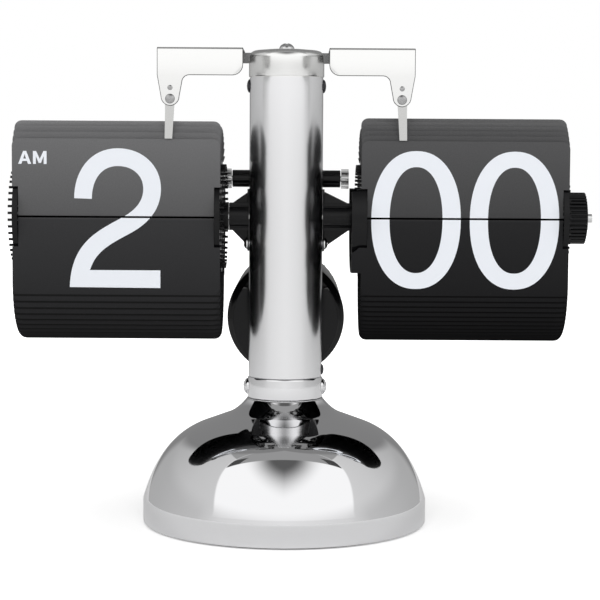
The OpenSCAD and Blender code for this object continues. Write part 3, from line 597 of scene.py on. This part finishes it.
def vector_of(tree, x, y, z):
    return node_in(tree, "ShaderNodeCombineXYZ", X=x, Y=y, Z=z).outputs[0]


# %% [markdown]
# One tree builds a domed head with a cross cut into it and puts a copy on every point, turned to face the
# way that the point says. The cross is cut by a boolean, so its walls are real.


# %% Screw tree
SLOT_REACH = 1.15
SLOT_DEPTH = 0.9


def build_screws():
    tree, given, out = new_tree("domed_screws", [
        ("Head Radius", "NodeSocketFloat"), ("Head Height", "NodeSocketFloat"),
        ("Slot Width", "NodeSocketFloat"), ("Finish", "NodeSocketMaterial")])
    ball = node_in(tree, "GeometryNodeMeshUVSphere", Segments=40, Rings=20, Radius=1.0)
    size = vector_of(tree, given["Head Radius"], given["Head Radius"], given["Head Height"])
    head = node_in(tree, "GeometryNodeTransform", Geometry=ball.outputs["Mesh"], Scale=size)
    reach = math_node(tree, "MULTIPLY", given["Head Radius"], SLOT_REACH)
    depth = math_node(tree, "MULTIPLY", given["Head Height"], SLOT_DEPTH)
    slots = tree.nodes.new("GeometryNodeJoinGeometry")
    for wide in (True, False):
        span = (reach, given["Slot Width"]) if wide else (given["Slot Width"], reach)
        bar = node_in(tree, "GeometryNodeMeshCube", Size=vector_of(tree, *span, depth))
        raised = node_in(tree, "GeometryNodeTransform", Geometry=bar.outputs["Mesh"],
                         Translation=vector_of(tree, 0.0, 0.0, given["Head Height"]))
        tree.links.new(raised.outputs[0], slots.inputs[0])
    cut = tree.nodes.new("GeometryNodeMeshBoolean")
    cut.operation = "DIFFERENCE"
    cut.solver = "MANIFOLD"
    tree.links.new(head.outputs[0], cut.inputs["Mesh 1"])
    tree.links.new(slots.outputs[0], cut.inputs["Mesh 2"])
    facing = tree.nodes.new("GeometryNodeInputNamedAttribute")
    facing.data_type = "FLOAT_VECTOR"
    facing.inputs["Name"].default_value = "facing"
    aligned = tree.nodes.new("FunctionNodeAlignRotationToVector")
    aligned.axis = "Z"
    tree.links.new(facing.outputs[0], aligned.inputs["Vector"])
    spread = node_in(tree, "GeometryNodeInstanceOnPoints", Points=given["Geometry"], Instance=cut.outputs[0],
                     Rotation=aligned.outputs[0])
    close_tree(tree, spread.outputs[0], given, out)
    return tree


SCREWS = build_screws()
print("screw tree:", len(SCREWS.nodes), "nodes")

# %% [markdown]
# A tree becomes a piece in one go: a few points carry the modifier, the evaluated result is kept as a
# plain mesh, and the points are thrown away. Each point may say which way its screw faces.


# %% Grow a piece from a tree
GROWN_EDGE = math.radians(40)


def grow(name, points, tree, values, body, facings=None):
    mesh = bpy.data.meshes.new(name)
    mesh.from_pydata(points, [], [])
    if facings:
        layer = mesh.attributes.new("facing", "FLOAT_VECTOR", "POINT")
        for row, facing in zip(layer.data, facings):
            row.vector = facing
    holder = bpy.data.objects.new(name + "_points", mesh)
    bpy.context.collection.objects.link(holder)
    modifier = holder.modifiers.new("grow", "NODES")
    modifier.node_group = tree
    for item in tree.interface.items_tree:
        if item.in_out == "INPUT" and item.name in values:
            modifier[item.identifier] = values[item.name]
    shapes = bpy.context.evaluated_depsgraph_get()
    grown = bpy.data.meshes.new_from_object(holder.evaluated_get(shapes))
    bpy.data.objects.remove(holder)
    assert len(grown.polygons) > 0, name
    grown.name = name
    for face in grown.polygons:
        face.use_smooth = True
    grown.set_sharp_from_angle(angle=GROWN_EDGE)
    obj = bpy.data.objects.new(name, grown)
    bpy.context.collection.objects.link(obj)
    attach(obj, body)
    print(name, len(grown.polygons), "faces on", body)
    return obj


# %% [markdown]
# Each screw group stands where its solids stand. The box of a group gives the places: a pair on the two
# sides, four at the corners of the cover, three round the base, or one on its own.

# %% Screws in the post
SIDE = Vector((1, 0, 0))
FRONT = Vector((0, -1, 0))
BACK = Vector((0, 1, 0))
UP = Vector((0, 0, 1))
DOWN = Vector((0, 0, -1))
SLOT_SHARE = 0.3


def screw_group(node, places, facings, head_r, head_h, finish):
    values = {"Head Radius": head_r, "Head Height": head_h, "Slot Width": head_r * SLOT_SHARE,
              "Finish": finish}
    obj = grow(node + "_heads", places, SCREWS, values, body_of[node], facings)
    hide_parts(node)


def side_pair(node, head_h, finish):
    lo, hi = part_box(node)
    y = (lo.y + hi.y) / 2
    z = (lo.z + hi.z) / 2
    out = hi.x - head_h
    screw_group(node, [(out, y, z), (-out, y, z)], [SIDE, -SIDE], (hi.z - lo.z) / 2, head_h, finish)


side_pair("collar_screws", 2.0 * MM, chrome)
side_pair("bracket_screws", 1.2 * MM, chrome)
side_pair("cap_side_screws", 1.0 * MM, black_metal)
SET_SCREW_H = 0.8 * MM
lo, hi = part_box("collar_set_screw")
set_screw_spot = (hi.x - SET_SCREW_H, 0, (lo.z + hi.z) / 2)
screw_group("collar_set_screw", [set_screw_spot], [SIDE], (hi.z - lo.z) / 2, SET_SCREW_H, black_metal)
CAP_SCREW_H = 2.2 * MM
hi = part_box("cap_screw")[1]
screw_group("cap_screw", [(0, 0, hi.z - CAP_SCREW_H)], [UP], hi.x, CAP_SCREW_H, steel)

# %% Screws in the arms, cover and base
ARM_SCREW_H = 0.9 * MM
lo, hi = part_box("arm_screws")
arm_head = (hi.y - lo.y) / 2
arm_spots = [(s * (hi.x - arm_head), 0, hi.z - ARM_SCREW_H) for s in (1, -1)]
screw_group("arm_screws", arm_spots, [UP, UP], arm_head, ARM_SCREW_H, steel)
FINGER_SCREW_H = 0.7 * MM
lo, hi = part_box("finger_screws")
finger_head = (hi.z - lo.z) / 2
finger_spots = [(s * (hi.x - finger_head), lo.y + FINGER_SCREW_H, (lo.z + hi.z) / 2) for s in (1, -1)]
screw_group("finger_screws", finger_spots, [FRONT, FRONT], finger_head, FINGER_SCREW_H, screw_steel)
COVER_HEAD = 1.9 * MM
COVER_SCREW_H = 0.9 * MM
lo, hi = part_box("cover_screws")
cover_spots = [(s * (hi.x - COVER_HEAD), hi.y - COVER_SCREW_H, z)
               for s in (1, -1) for z in (lo.z + COVER_HEAD, hi.z - COVER_HEAD)]
screw_group("cover_screws", cover_spots, [BACK] * 4, COVER_HEAD, COVER_SCREW_H, steel)
BASE_HEAD = 2.6 * MM
BASE_SCREW_H = 0.8 * MM
BASE_ANGLES = [math.radians(a) for a in (90, 210, 330)]
lo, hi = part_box("base_screws")
base_ring = hi.y - BASE_HEAD
base_spots = [(base_ring * math.cos(a), base_ring * math.sin(a), lo.z + BASE_SCREW_H) for a in BASE_ANGLES]
screw_group("base_screws", base_spots, [DOWN] * 3, BASE_HEAD, BASE_SCREW_H, steel)

# %% [markdown]
# The setting knob has a ribbed grip, moulded with round ribs. A second tree sets rods round a ring, and
# the core between them is turned on the lathe and laid along the axle. Displacing a cylinder would be
# quicker, but rods give full rounds with a crisp valley between them.


# %% Rib tree
def build_ribs():
    tree, given, out = new_tree("ribs_round_a_ring", [
        ("Ribs", "NodeSocketInt"), ("Ring Radius", "NodeSocketFloat"), ("Rib Radius", "NodeSocketFloat"),
        ("Length", "NodeSocketFloat"), ("Turn", "NodeSocketRotation"), ("Place", "NodeSocketVector"),
        ("Finish", "NodeSocketMaterial")])
    ring = node_in(tree, "GeometryNodeMeshCircle", Vertices=given["Ribs"], Radius=given["Ring Radius"])
    rod = node_in(tree, "GeometryNodeMeshCylinder", Vertices=12, Radius=given["Rib Radius"],
                  Depth=given["Length"])
    spread = node_in(tree, "GeometryNodeInstanceOnPoints", Points=ring.outputs[0],
                     Instance=rod.outputs["Mesh"])
    laid = node_in(tree, "GeometryNodeTransform", Geometry=spread.outputs[0], Translation=given["Place"],
                   Rotation=given["Turn"])
    close_tree(tree, laid.outputs[0], given, out)
    return tree


RIBS = build_ribs()
print("rib tree:", len(RIBS.nodes), "nodes")

# %% Setting knob
lo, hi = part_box("setting_knob")
KNOB_R = (hi.z - lo.z) / 2
KNOB_FLANGE = 1.7 * MM
KNOB_RIBS = 36
RIB_R = 0.55 * MM
RIB_END = 0.2 * MM
CORE_EDGE = 0.4 * MM
DISH_R = KNOB_R - 2 * MM
DISH_DEPTH = 1.2 * MM
AXLE_R = (axle_hi.z - axle_lo.z) / 2
core_r = KNOB_R - 0.75 * MM
flange_r = KNOB_R - 0.5 * MM
flange_end = lo.x + KNOB_FLANGE
core = lathe([(AXLE_R, lo.x), (KNOB_R - 0.8 * MM, lo.x), (flange_r, lo.x + 0.3 * MM), (flange_r, flange_end),
              (core_r, flange_end), (core_r, hi.x - CORE_EDGE), (core_r - CORE_EDGE, hi.x), (DISH_R, hi.x),
              (DISH_R, hi.x - DISH_DEPTH), (3.4 * MM, hi.x - DISH_DEPTH), (3.2 * MM, hi.x), (AXLE_R, hi.x)],
             sides=96)
ALONG_AXLE = Matrix.Translation((0, 0, AXLE_Z)) @ Matrix.Rotation(math.pi / 2, 4, "Y")
bmesh.ops.transform(core, matrix=ALONG_AXLE, verts=core.verts)
core_piece = piece("knob_core", core, plastic, "minute_drum")
core_piece.data.set_sharp_from_angle(angle=math.radians(30))
grip = hi.x - flange_end - RIB_END
rib_values = {"Ribs": KNOB_RIBS, "Ring Radius": KNOB_R - RIB_R, "Rib Radius": RIB_R, "Length": grip,
              "Turn": (0, math.pi / 2, 0), "Place": (hi.x - RIB_END - grip / 2, 0, AXLE_Z), "Finish": plastic}
grow("knob_ribs", [(0, 0, 0)], RIBS, rib_values, "minute_drum")
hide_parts("setting_knob")

# %% [markdown]
# The numbers are printed in white, in a plain round style. Each is drawn as a flat outline in millimetres
# about the middle of its leaf. A zero is two ovals, and a two or three is a stroke of one width along a
# path. A text object would be quicker, but its font has other shapes.


# %% Strokes
def oval(cx, cz, half_w, half_h, power=2.2, steps=72):
    points = []
    for k in range(steps):
        a = 2 * math.pi * k / steps
        c, s = math.cos(a), math.sin(a)
        points.append((cx + half_w * math.copysign(abs(c) ** (2 / power), c),
                       cz + half_h * math.copysign(abs(s) ** (2 / power), s)))
    return points


def ribbon(path, width):
    left, right = [], []
    for i, (x, z) in enumerate(path):
        x0, z0 = path[max(i - 1, 0)]
        x1, z1 = path[min(i + 1, len(path) - 1)]
        length = math.hypot(x1 - x0, z1 - z0)
        nx, nz = -(z1 - z0) / length * width / 2, (x1 - x0) / length * width / 2
        left.append((x + nx, z + nz))
        right.append((x - nx, z - nz))
    return left, right


def chain(*curves):
    points = list(curves[0])
    for curve in curves[1:]:
        points += curve[1:]
    return points


# %% Numbers
STROKE = 6.1
NUMBER_LOW = -24.5
BAR_TOP = NUMBER_LOW + STROKE
BAR_END = 15.3


def zero():
    return [[oval(0, -0.5, 15.45, 23.8), oval(0, -0.5, 9.15, 18.3)]]


def one():
    flag = [(-9.5, 14.2), (-1.4, 18.9), (2.0, 23.3), (5.4, 23.3), (5.4, NUMBER_LOW), (-0.8, NUMBER_LOW),
            (-0.8, 12.9), (-9.5, 8.4)]
    return [[flag]]


def two():
    path = chain(bezier((-11.4, 6.3), (-11.4, 14.2), (-7.0, 20.6), (0.7, 20.6), 16),
                 bezier((0.7, 20.6), (7.6, 20.6), (12.45, 16.0), (12.45, 9.8), 16),
                 bezier((12.45, 9.8), (12.45, 4.6), (9.6, 0.6), (4.0, -2.6), 16),
                 bezier((4.0, -2.6), (-4.6, -7.4), (-12.6, -10.6), (-13.0, NUMBER_LOW), 24))
    left, right = ribbon(path, STROKE)
    left = [p for p in left if p[1] > BAR_TOP]
    return [[left + [(left[-1][0] - 0.2, BAR_TOP), (BAR_END, BAR_TOP), (BAR_END, NUMBER_LOW)] + right[::-1]]]


def three():
    upper = chain(bezier((-11.6, 12.2), (-11.0, 18.0), (-6.0, 20.6), (0.2, 20.6), 14),
                  bezier((0.2, 20.6), (6.8, 20.6), (11.2, 17.0), (11.2, 11.2), 12),
                  bezier((11.2, 11.2), (11.2, 5.4), (6.8, 1.6), (-3.6, 1.6), 30))
    lower = chain(bezier((2.0, 1.6), (9.0, 1.2), (12.6, -3.4), (12.6, -9.8), 30),
                  bezier((12.6, -9.8), (12.6, -17.2), (7.6, -21.6), (0.2, -21.6), 12),
                  bezier((0.2, -21.6), (-6.8, -21.6), (-12.2, -17.8), (-12.6, -10.6), 12))
    outer, inner = ribbon(upper, STROKE)
    low_outer, low_inner = ribbon(lower, STROKE)
    meets = [(math.dist(p, q), i, j) for i, p in enumerate(outer) for j, q in enumerate(low_outer)]
    gap, waist, low_waist = min(meets)
    print("three: its two bowls meet within", round(gap, 2), "mm")
    return [[outer[:waist] + low_outer[low_waist:] + low_inner[::-1] + outer[-1:] + inner[::-1]]]


def shifted(shapes, dx):
    return [[[(x + dx, z) for x, z in loop] for loop in shape] for shape in shapes]


# %% [markdown]
# A small mark at the upper left of the hour leaf says that it is morning. Its two letters are straight
# strokes, so their corners are simply listed.

# %% Morning mark
MARK_Z = 18.1
MARK_H = 4.45
MARK_STROKE = 1.0


def morning_mark():
    top = MARK_Z + MARK_H
    a_left, a_right = -33.7, -29.2
    a_mid = (a_left + a_right) / 2
    letter_a = [[(a_left, MARK_Z), (a_mid - 0.55, top), (a_mid + 0.55, top), (a_right, MARK_Z),
                 (a_right - 1.1, MARK_Z), (a_right - 1.45, MARK_Z + 1.0), (a_left + 1.45, MARK_Z + 1.0),
                 (a_left + 1.1, MARK_Z)],
                [(a_left + 1.78, MARK_Z + 1.8), (a_right - 1.78, MARK_Z + 1.8), (a_mid, top - 1.1)]]
    m_left, m_right = -28.6, -23.9
    m_mid = (m_left + m_right) / 2
    letter_m = [[(m_left, MARK_Z), (m_left, top), (m_left + 1.1, top), (m_mid, MARK_Z + 1.75),
                 (m_right - 1.1, top), (m_right, top), (m_right, MARK_Z), (m_right - MARK_STROKE, MARK_Z),
                 (m_right - MARK_STROKE, top - 1.75), (m_mid + 0.4, MARK_Z + 0.35),
                 (m_mid - 0.4, MARK_Z + 0.35), (m_left + MARK_STROKE, top - 1.75),
                 (m_left + MARK_STROKE, MARK_Z)]]
    return [letter_a, letter_m]


# %% [markdown]
# An outline is filled by a flat curve, cut at the gap between the two leaves, and laid on the leaf as a
# skin of ink. The upper half rides with the front leaf, and the lower half stays. The next number waits
# behind: its upper half is on the second leaf and its lower half on the front leaf's back. A texture
# could carry the ink, but a mesh stays sharp at any distance.


# %% Fill an outline
def flat_mesh(shape):
    curve = bpy.data.curves.new("outline", "CURVE")
    curve.dimensions = "2D"
    curve.fill_mode = "BOTH"
    for loop in shape:
        spline = curve.splines.new("POLY")
        spline.points.add(len(loop) - 1)
        for point, (x, z) in zip(spline.points, loop):
            point.co = (x * MM, z * MM, 0, 1)
        spline.use_cyclic_u = True
    holder = bpy.data.objects.new("outline", curve)
    bpy.context.collection.objects.link(holder)
    shapes = bpy.context.evaluated_depsgraph_get()
    mesh = bpy.data.meshes.new_from_object(holder.evaluated_get(shapes))
    bpy.data.objects.remove(holder)
    return mesh


# %% Print the numbers on the leaves
INK = 0.015 * MM
LEAF_GAP = 0.68 * MM


def print_number(name, shapes, leaf_x, plane_y, keep_upper, body, lift=0.0, back_of=None, lean=None):
    bm = bmesh.new()
    for shape in shapes:
        mesh = flat_mesh(shape)
        bm.from_mesh(mesh)
        bpy.data.meshes.remove(mesh)
    sign = 1 if keep_upper else -1
    everything = bm.verts[:] + bm.edges[:] + bm.faces[:]
    bmesh.ops.bisect_plane(bm, geom=everything, plane_co=(0, sign * LEAF_GAP / 2, 0), plane_no=(0, sign, 0),
                           clear_inner=True)
    for v in bm.verts:
        x, z = v.co.x, v.co.y
        v.co = (leaf_x + x, plane_y, (2 * back_of - AXLE_Z - z) if back_of else AXLE_Z + z + lift)
    towards = INK if back_of else -INK
    skin = bmesh.ops.extrude_face_region(bm, geom=bm.faces[:])
    raised = [g for g in skin["geom"] if isinstance(g, bmesh.types.BMVert)]
    bmesh.ops.translate(bm, vec=(0, towards, 0), verts=raised)
    if lean:
        angle, hinge = lean
        bmesh.ops.rotate(bm, cent=hinge, matrix=Matrix.Rotation(-angle, 3, "X"), verts=bm.verts)
    piece(name, bm, white, body, smooth=False)


# %% [markdown]
# The second leaf of each drum leans back by half a step about its own hinge, so the number waiting on it
# is printed upright first and then turned with it.

# %% Numbers now and next
STAND_LEAN = 0.5


def print_leaves(label, node, body, step, now, later):
    lo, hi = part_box(node)
    x = (lo.x + hi.x) / 2
    half = math.radians(step / 2)
    hinge_z = AXLE_Z + HINGE_R * math.sin(half)
    second = Vector((0, -HINGE_R * math.cos(3 * half), AXLE_Z + HINGE_R * math.sin(3 * half)))
    second_y = second.y - (hi.y - lo.y) / 2
    print_number(label + "_number_upper", now, x, lo.y, True, body)
    print_number(label + "_number_lower", now, x, lo.y, False, "stand")
    print_number(label + "_next_upper", later, x, second_y, True, "stand", lift=second.z - hinge_z,
                 lean=(math.radians(step * STAND_LEAN), second))
    print_number(label + "_next_lower", later, x, hi.y, False, body, back_of=AXLE_Z)


DIGIT_SHIFT = 17.0
tens = shifted(zero(), -DIGIT_SHIFT)
print_leaves("hour", "hour_front_leaf", "hour_leaf", HOUR_STEP, two() + morning_mark(),
             three() + morning_mark())
print_leaves("minute", "minute_front_leaf", "minute_leaf", MINUTE_STEP, tens + shifted(zero(), DIGIT_SHIFT),
             tens + shifted(one(), DIGIT_SHIFT))

# %% [markdown]
# The clock stands on a pale floor. The floor glows a little for the camera, more with distance, so it
# runs into the white behind it and still keeps the clock's shadow.

# %% Floor
FLOOR = 3.0
GLOW_FROM = (0.055, 0.3)
GLOW_TO = (0.36, 1.0)
floor_mesh = bpy.data.meshes.new("floor")
floor_mesh.from_pydata([(-FLOOR, -FLOOR, 0), (FLOOR, -FLOOR, 0), (FLOOR, FLOOR, 0), (-FLOOR, FLOOR, 0)], [],
                       [(0, 1, 2, 3)])
floor = bpy.data.objects.new("floor", floor_mesh)
bpy.context.collection.objects.link(floor)


def floor_finish():
    material = bpy.data.materials.new("floor_white")
    material.use_nodes = True
    tree = material.node_tree
    shader = tree.nodes["Principled BSDF"]
    shader.inputs["Base Color"].default_value = (0.9, 0.9, 0.9, 1)
    shader.inputs["Roughness"].default_value = 0.8
    shader.inputs["Specular IOR Level"].default_value = 0.1
    shader.inputs["Emission Color"].default_value = (1, 1, 1, 1)
    place = tree.nodes.new("ShaderNodeTexCoord")
    away = tree.nodes.new("ShaderNodeVectorMath")
    away.operation = "LENGTH"
    tree.links.new(place.outputs["Object"], away.inputs[0])
    glow = tree.nodes.new("ShaderNodeMapRange")
    for label, value in zip(("From Min", "From Max", "To Min", "To Max"), GLOW_FROM + GLOW_TO):
        glow.inputs[label].default_value = value
    tree.links.new(away.outputs["Value"], glow.inputs["Value"])
    path = tree.nodes.new("ShaderNodeLightPath")
    strength = math_node(tree, "MULTIPLY", glow.outputs["Result"], path.outputs["Is Camera Ray"])
    tree.links.new(strength, shader.inputs["Emission Strength"])
    return material


floor_mesh.materials.append(floor_finish())
print("floor:", 2 * FLOOR, "m across")

# %% [markdown]
# The world is white where the camera and the reflections see it, and weaker as a light, so that the white
# behind the clock doesn't wash it out.

# %% World
WORLD_LIGHT = 0.45
world = bpy.data.worlds.new("studio")
bpy.context.scene.world = world
world.use_nodes = True
tree = world.node_tree
backdrop = tree.nodes["Background"]
backdrop.inputs["Color"].default_value = (1, 1, 1, 1)
path = tree.nodes.new("ShaderNodeLightPath")
seen = math_node(tree, "MAXIMUM", path.outputs["Is Camera Ray"], path.outputs["Is Glossy Ray"])
seen = math_node(tree, "MAXIMUM", seen, path.outputs["Is Transmission Ray"])
level = tree.nodes.new("ShaderNodeMapRange")
level.inputs["To Min"].default_value = WORLD_LIGHT
level.inputs["To Max"].default_value = 1.0
tree.links.new(seen, level.inputs["Value"])
tree.links.new(level.outputs["Result"], backdrop.inputs["Strength"])
bpy.context.scene.view_settings.view_transform = "Standard"
print("world lights at", WORLD_LIGHT)

# %% [markdown]
# Three softboxes give the plain studio light: a broad one above the camera and one on each side.
# Reflections don't see them, because the tent below takes their place there.


# %% Lamps
def softbox(name, place, width, height, power):
    data = bpy.data.lights.new(name, "AREA")
    data.shape = "RECTANGLE"
    data.size = width
    data.size_y = height
    data.energy = power
    lamp = bpy.data.objects.new(name, data)
    bpy.context.collection.objects.link(lamp)
    lamp.location = place
    lamp.rotation_euler = (AIM - Vector(place)).to_track_quat("-Z", "Y").to_euler()
    lamp.visible_camera = False
    lamp.visible_glossy = False
    print(name, power, "W")


AIM = Vector((0, 0, 0.09))
softbox("front_softbox", (0, -1.1, 0.75), width=0.9, height=0.6, power=7)
softbox("left_softbox", (-1.1, -0.4, 0.7), width=0.5, height=0.7, power=4)
softbox("right_softbox", (1.1, -0.4, 0.7), width=0.5, height=0.7, power=4)

# %% [markdown]
# Chrome shows what stands round it. A light tent, seen only in reflections, stands in for a product
# studio. Lamps alone would show in it as small hard spots, and a dome gives broad shapes. It is half a
# metre in radius, built like the lathe's rings but open at its foot.

# %% Tent
TENT_R = 0.5
TENT_SIDES = 96
TENT_RISE = [math.radians(e) for e in range(0, 91, 3)]


def tent_shell():
    turns = [2 * math.pi * k / TENT_SIDES for k in range(TENT_SIDES)]
    points = [(TENT_R * math.cos(e) * math.sin(a), -TENT_R * math.cos(e) * math.cos(a), TENT_R * math.sin(e))
              for e in TENT_RISE for a in turns]
    faces = []
    for i in range(len(TENT_RISE) - 1):
        low, high = i * TENT_SIDES, (i + 1) * TENT_SIDES
        for k in range(TENT_SIDES):
            m = (k + 1) % TENT_SIDES
            faces.append((low + k, low + m, high + m, high + k))
    mesh = bpy.data.meshes.new("light_tent")
    mesh.from_pydata(points, [], faces)
    return mesh


tent = bpy.data.objects.new("light_tent", tent_shell())
bpy.context.collection.objects.link(tent)
tent.visible_camera = False
tent.visible_diffuse = False
tent.visible_shadow = False
print("tent:", len(tent.data.polygons), "faces")

# %% [markdown]
# The tent's greys are written by angle: round the clock, up from the floor, and up along the front. These
# helpers give the angles, soft steps between them, and a mix of two greys.


# %% Angles and steps
def smooth_step(tree, value, low, high):
    node = tree.nodes.new("ShaderNodeMapRange")
    node.interpolation_type = "SMOOTHSTEP"
    node.inputs["From Min"].default_value = low
    node.inputs["From Max"].default_value = high
    tree.links.new(value, node.inputs["Value"])
    return node.outputs["Result"]


def blend_values(tree, factor, a, b):
    node = tree.nodes.new("ShaderNodeMix")
    for socket, value in zip((node.inputs[0], node.inputs[2], node.inputs[3]), (factor, a, b)):
        if isinstance(value, (int, float)):
            socket.default_value = value
        else:
            tree.links.new(value, socket)
    return node.outputs[0]


def product(tree, a, b):
    return math_node(tree, "MULTIPLY", a, b)


def tent_angles(tree):
    place = tree.nodes.new("ShaderNodeTexCoord")
    split = tree.nodes.new("ShaderNodeSeparateXYZ")
    tree.links.new(place.outputs["Object"], split.inputs["Vector"])
    height = split.outputs["Z"]
    ahead = product(tree, split.outputs["Y"], -1.0)
    around = math_node(tree, "ARCTAN2", split.outputs["X"], ahead)
    up = math_node(tree, "ARCSINE", product(tree, height, 1 / TENT_R))
    up_front = math_node(tree, "ARCTAN2", height, ahead)
    return [product(tree, angle, 180 / math.pi) for angle in (around, up, up_front)]


# %% [markdown]
# Grey walls run round the foot. Above them stands a broad bright panel in front, with a soft dark V in
# its upper part and dark corners over its straight top edge. The roof is grey and the back is darker.

# %% Light on the tent
WALL_GREYS = [(-180, 0.4), (-120, 0.5), (-70, 0.62), (-50, 0.8), (0, 0.92), (50, 0.8), (70, 0.62), (120, 0.5),
              (180, 0.4)]
FLANK_GREYS = [(-180, 0.35), (-140, 0.5), (-90, 0.66), (-55, 0.72), (55, 0.78), (90, 0.7), (140, 0.5),
               (180, 0.35)]
WALL_TO_PANEL = (15, 26)
PANEL_GLOW = 1.15
PANEL_FOOT = 20.0
PANEL_WIDENS = 0.47
PANEL_SIDE = (56, 58.5)
PANEL_TOP = 74.5
FRONT_SIDE = (58, 55)
SIDE_TOP = 61
V_SIDE = (72, -12)
V_RISE = 30.0
V_FADE = (60, 92)
V_GREY = 0.12
ROOF_GREY = 0.36
CORNER_INNER = (45, 46)
CORNER_OUTER = (57, 56)
CORNER_H = 7
CORNER_FADE = 0.6
CORNER_GREY = 0.07
BACK_LEANS = 1.3
BACK_SIDE = (143, 156)
BACK_GREY = 0.25
HALF_STEP = 0.5


def greys_round(tree, around, stops):
    share = math_node(tree, "MULTIPLY_ADD", around, 1 / 360, 0.5)
    return ramp_node(tree, share, [(a / 360 + 0.5, (v, v, v)) for a, v in stops])


def tent_light(tree):
    around, up, up_front = tent_angles(tree)
    aside = math_node(tree, "ABSOLUTE", around)
    over = math_node(tree, "MAXIMUM", math_node(tree, "SUBTRACT", up, PANEL_FOOT), 0.0)
    inside = math_node(tree, "MULTIPLY_ADD", over, -PANEL_WIDENS, aside)
    front = smooth_step(tree, inside, *FRONT_SIDE)
    wall = greys_round(tree, around, WALL_GREYS)
    flank = greys_round(tree, around, FLANK_GREYS)
    panel = blend_values(tree, smooth_step(tree, inside, *PANEL_SIDE), PANEL_GLOW, flank)
    light = blend_values(tree, smooth_step(tree, up, *WALL_TO_PANEL), wall, panel)
    notch = product(tree, smooth_step(tree, aside, *V_SIDE), V_RISE)
    dip = smooth_step(tree, math_node(tree, "ADD", up, notch), *V_FADE)
    light = blend_values(tree, product(tree, dip, front), light, V_GREY)
    over_panel = smooth_step(tree, up_front, PANEL_TOP - HALF_STEP, PANEL_TOP + HALF_STEP)
    over_front = product(tree, over_panel, front)
    beside = math_node(tree, "SUBTRACT", 1.0, front)
    over_sides = product(tree, smooth_step(tree, up, SIDE_TOP - HALF_STEP, SIDE_TOP + HALF_STEP), beside)
    light = blend_values(tree, math_node(tree, "MAXIMUM", over_front, over_sides), light, ROOF_GREY)
    corner_top = PANEL_TOP + CORNER_H
    corner = product(tree, smooth_step(tree, inside, *CORNER_INNER), smooth_step(tree, inside, *CORNER_OUTER))
    corner = product(tree, corner, smooth_step(tree, up_front, PANEL_TOP, PANEL_TOP + CORNER_FADE))
    corner = product(tree, corner, smooth_step(tree, up_front, corner_top, corner_top - CORNER_FADE))
    light = blend_values(tree, corner, light, CORNER_GREY)
    beyond = math_node(tree, "MULTIPLY_ADD", over, BACK_LEANS, aside)
    return blend_values(tree, smooth_step(tree, beyond, *BACK_SIDE), light, BACK_GREY)


# %% [markdown]
# The tent glows on its inner side only and is clear from outside. It isn't sampled as a lamp, because it
# lights nothing but reflections.


# %% Tent finish
def tent_finish():
    material = bpy.data.materials.new("light_tent")
    material.use_nodes = True
    material.cycles.emission_sampling = "NONE"
    tree = material.node_tree
    tree.nodes.clear()
    glow = tree.nodes.new("ShaderNodeEmission")
    clear = tree.nodes.new("ShaderNodeBsdfTransparent")
    sides = tree.nodes.new("ShaderNodeNewGeometry")
    one_sided = tree.nodes.new("ShaderNodeMixShader")
    out = tree.nodes.new("ShaderNodeOutputMaterial")
    tree.links.new(tent_light(tree), glow.inputs["Color"])
    tree.links.new(sides.outputs["Backfacing"], one_sided.inputs[0])
    tree.links.new(clear.outputs["BSDF"], one_sided.inputs[1])
    tree.links.new(glow.outputs["Emission"], one_sided.inputs[2])
    tree.links.new(one_sided.outputs[0], out.inputs["Surface"])
    print("tent finish:", len(tree.nodes), "nodes")
    return material


tent.data.materials.append(tent_finish())
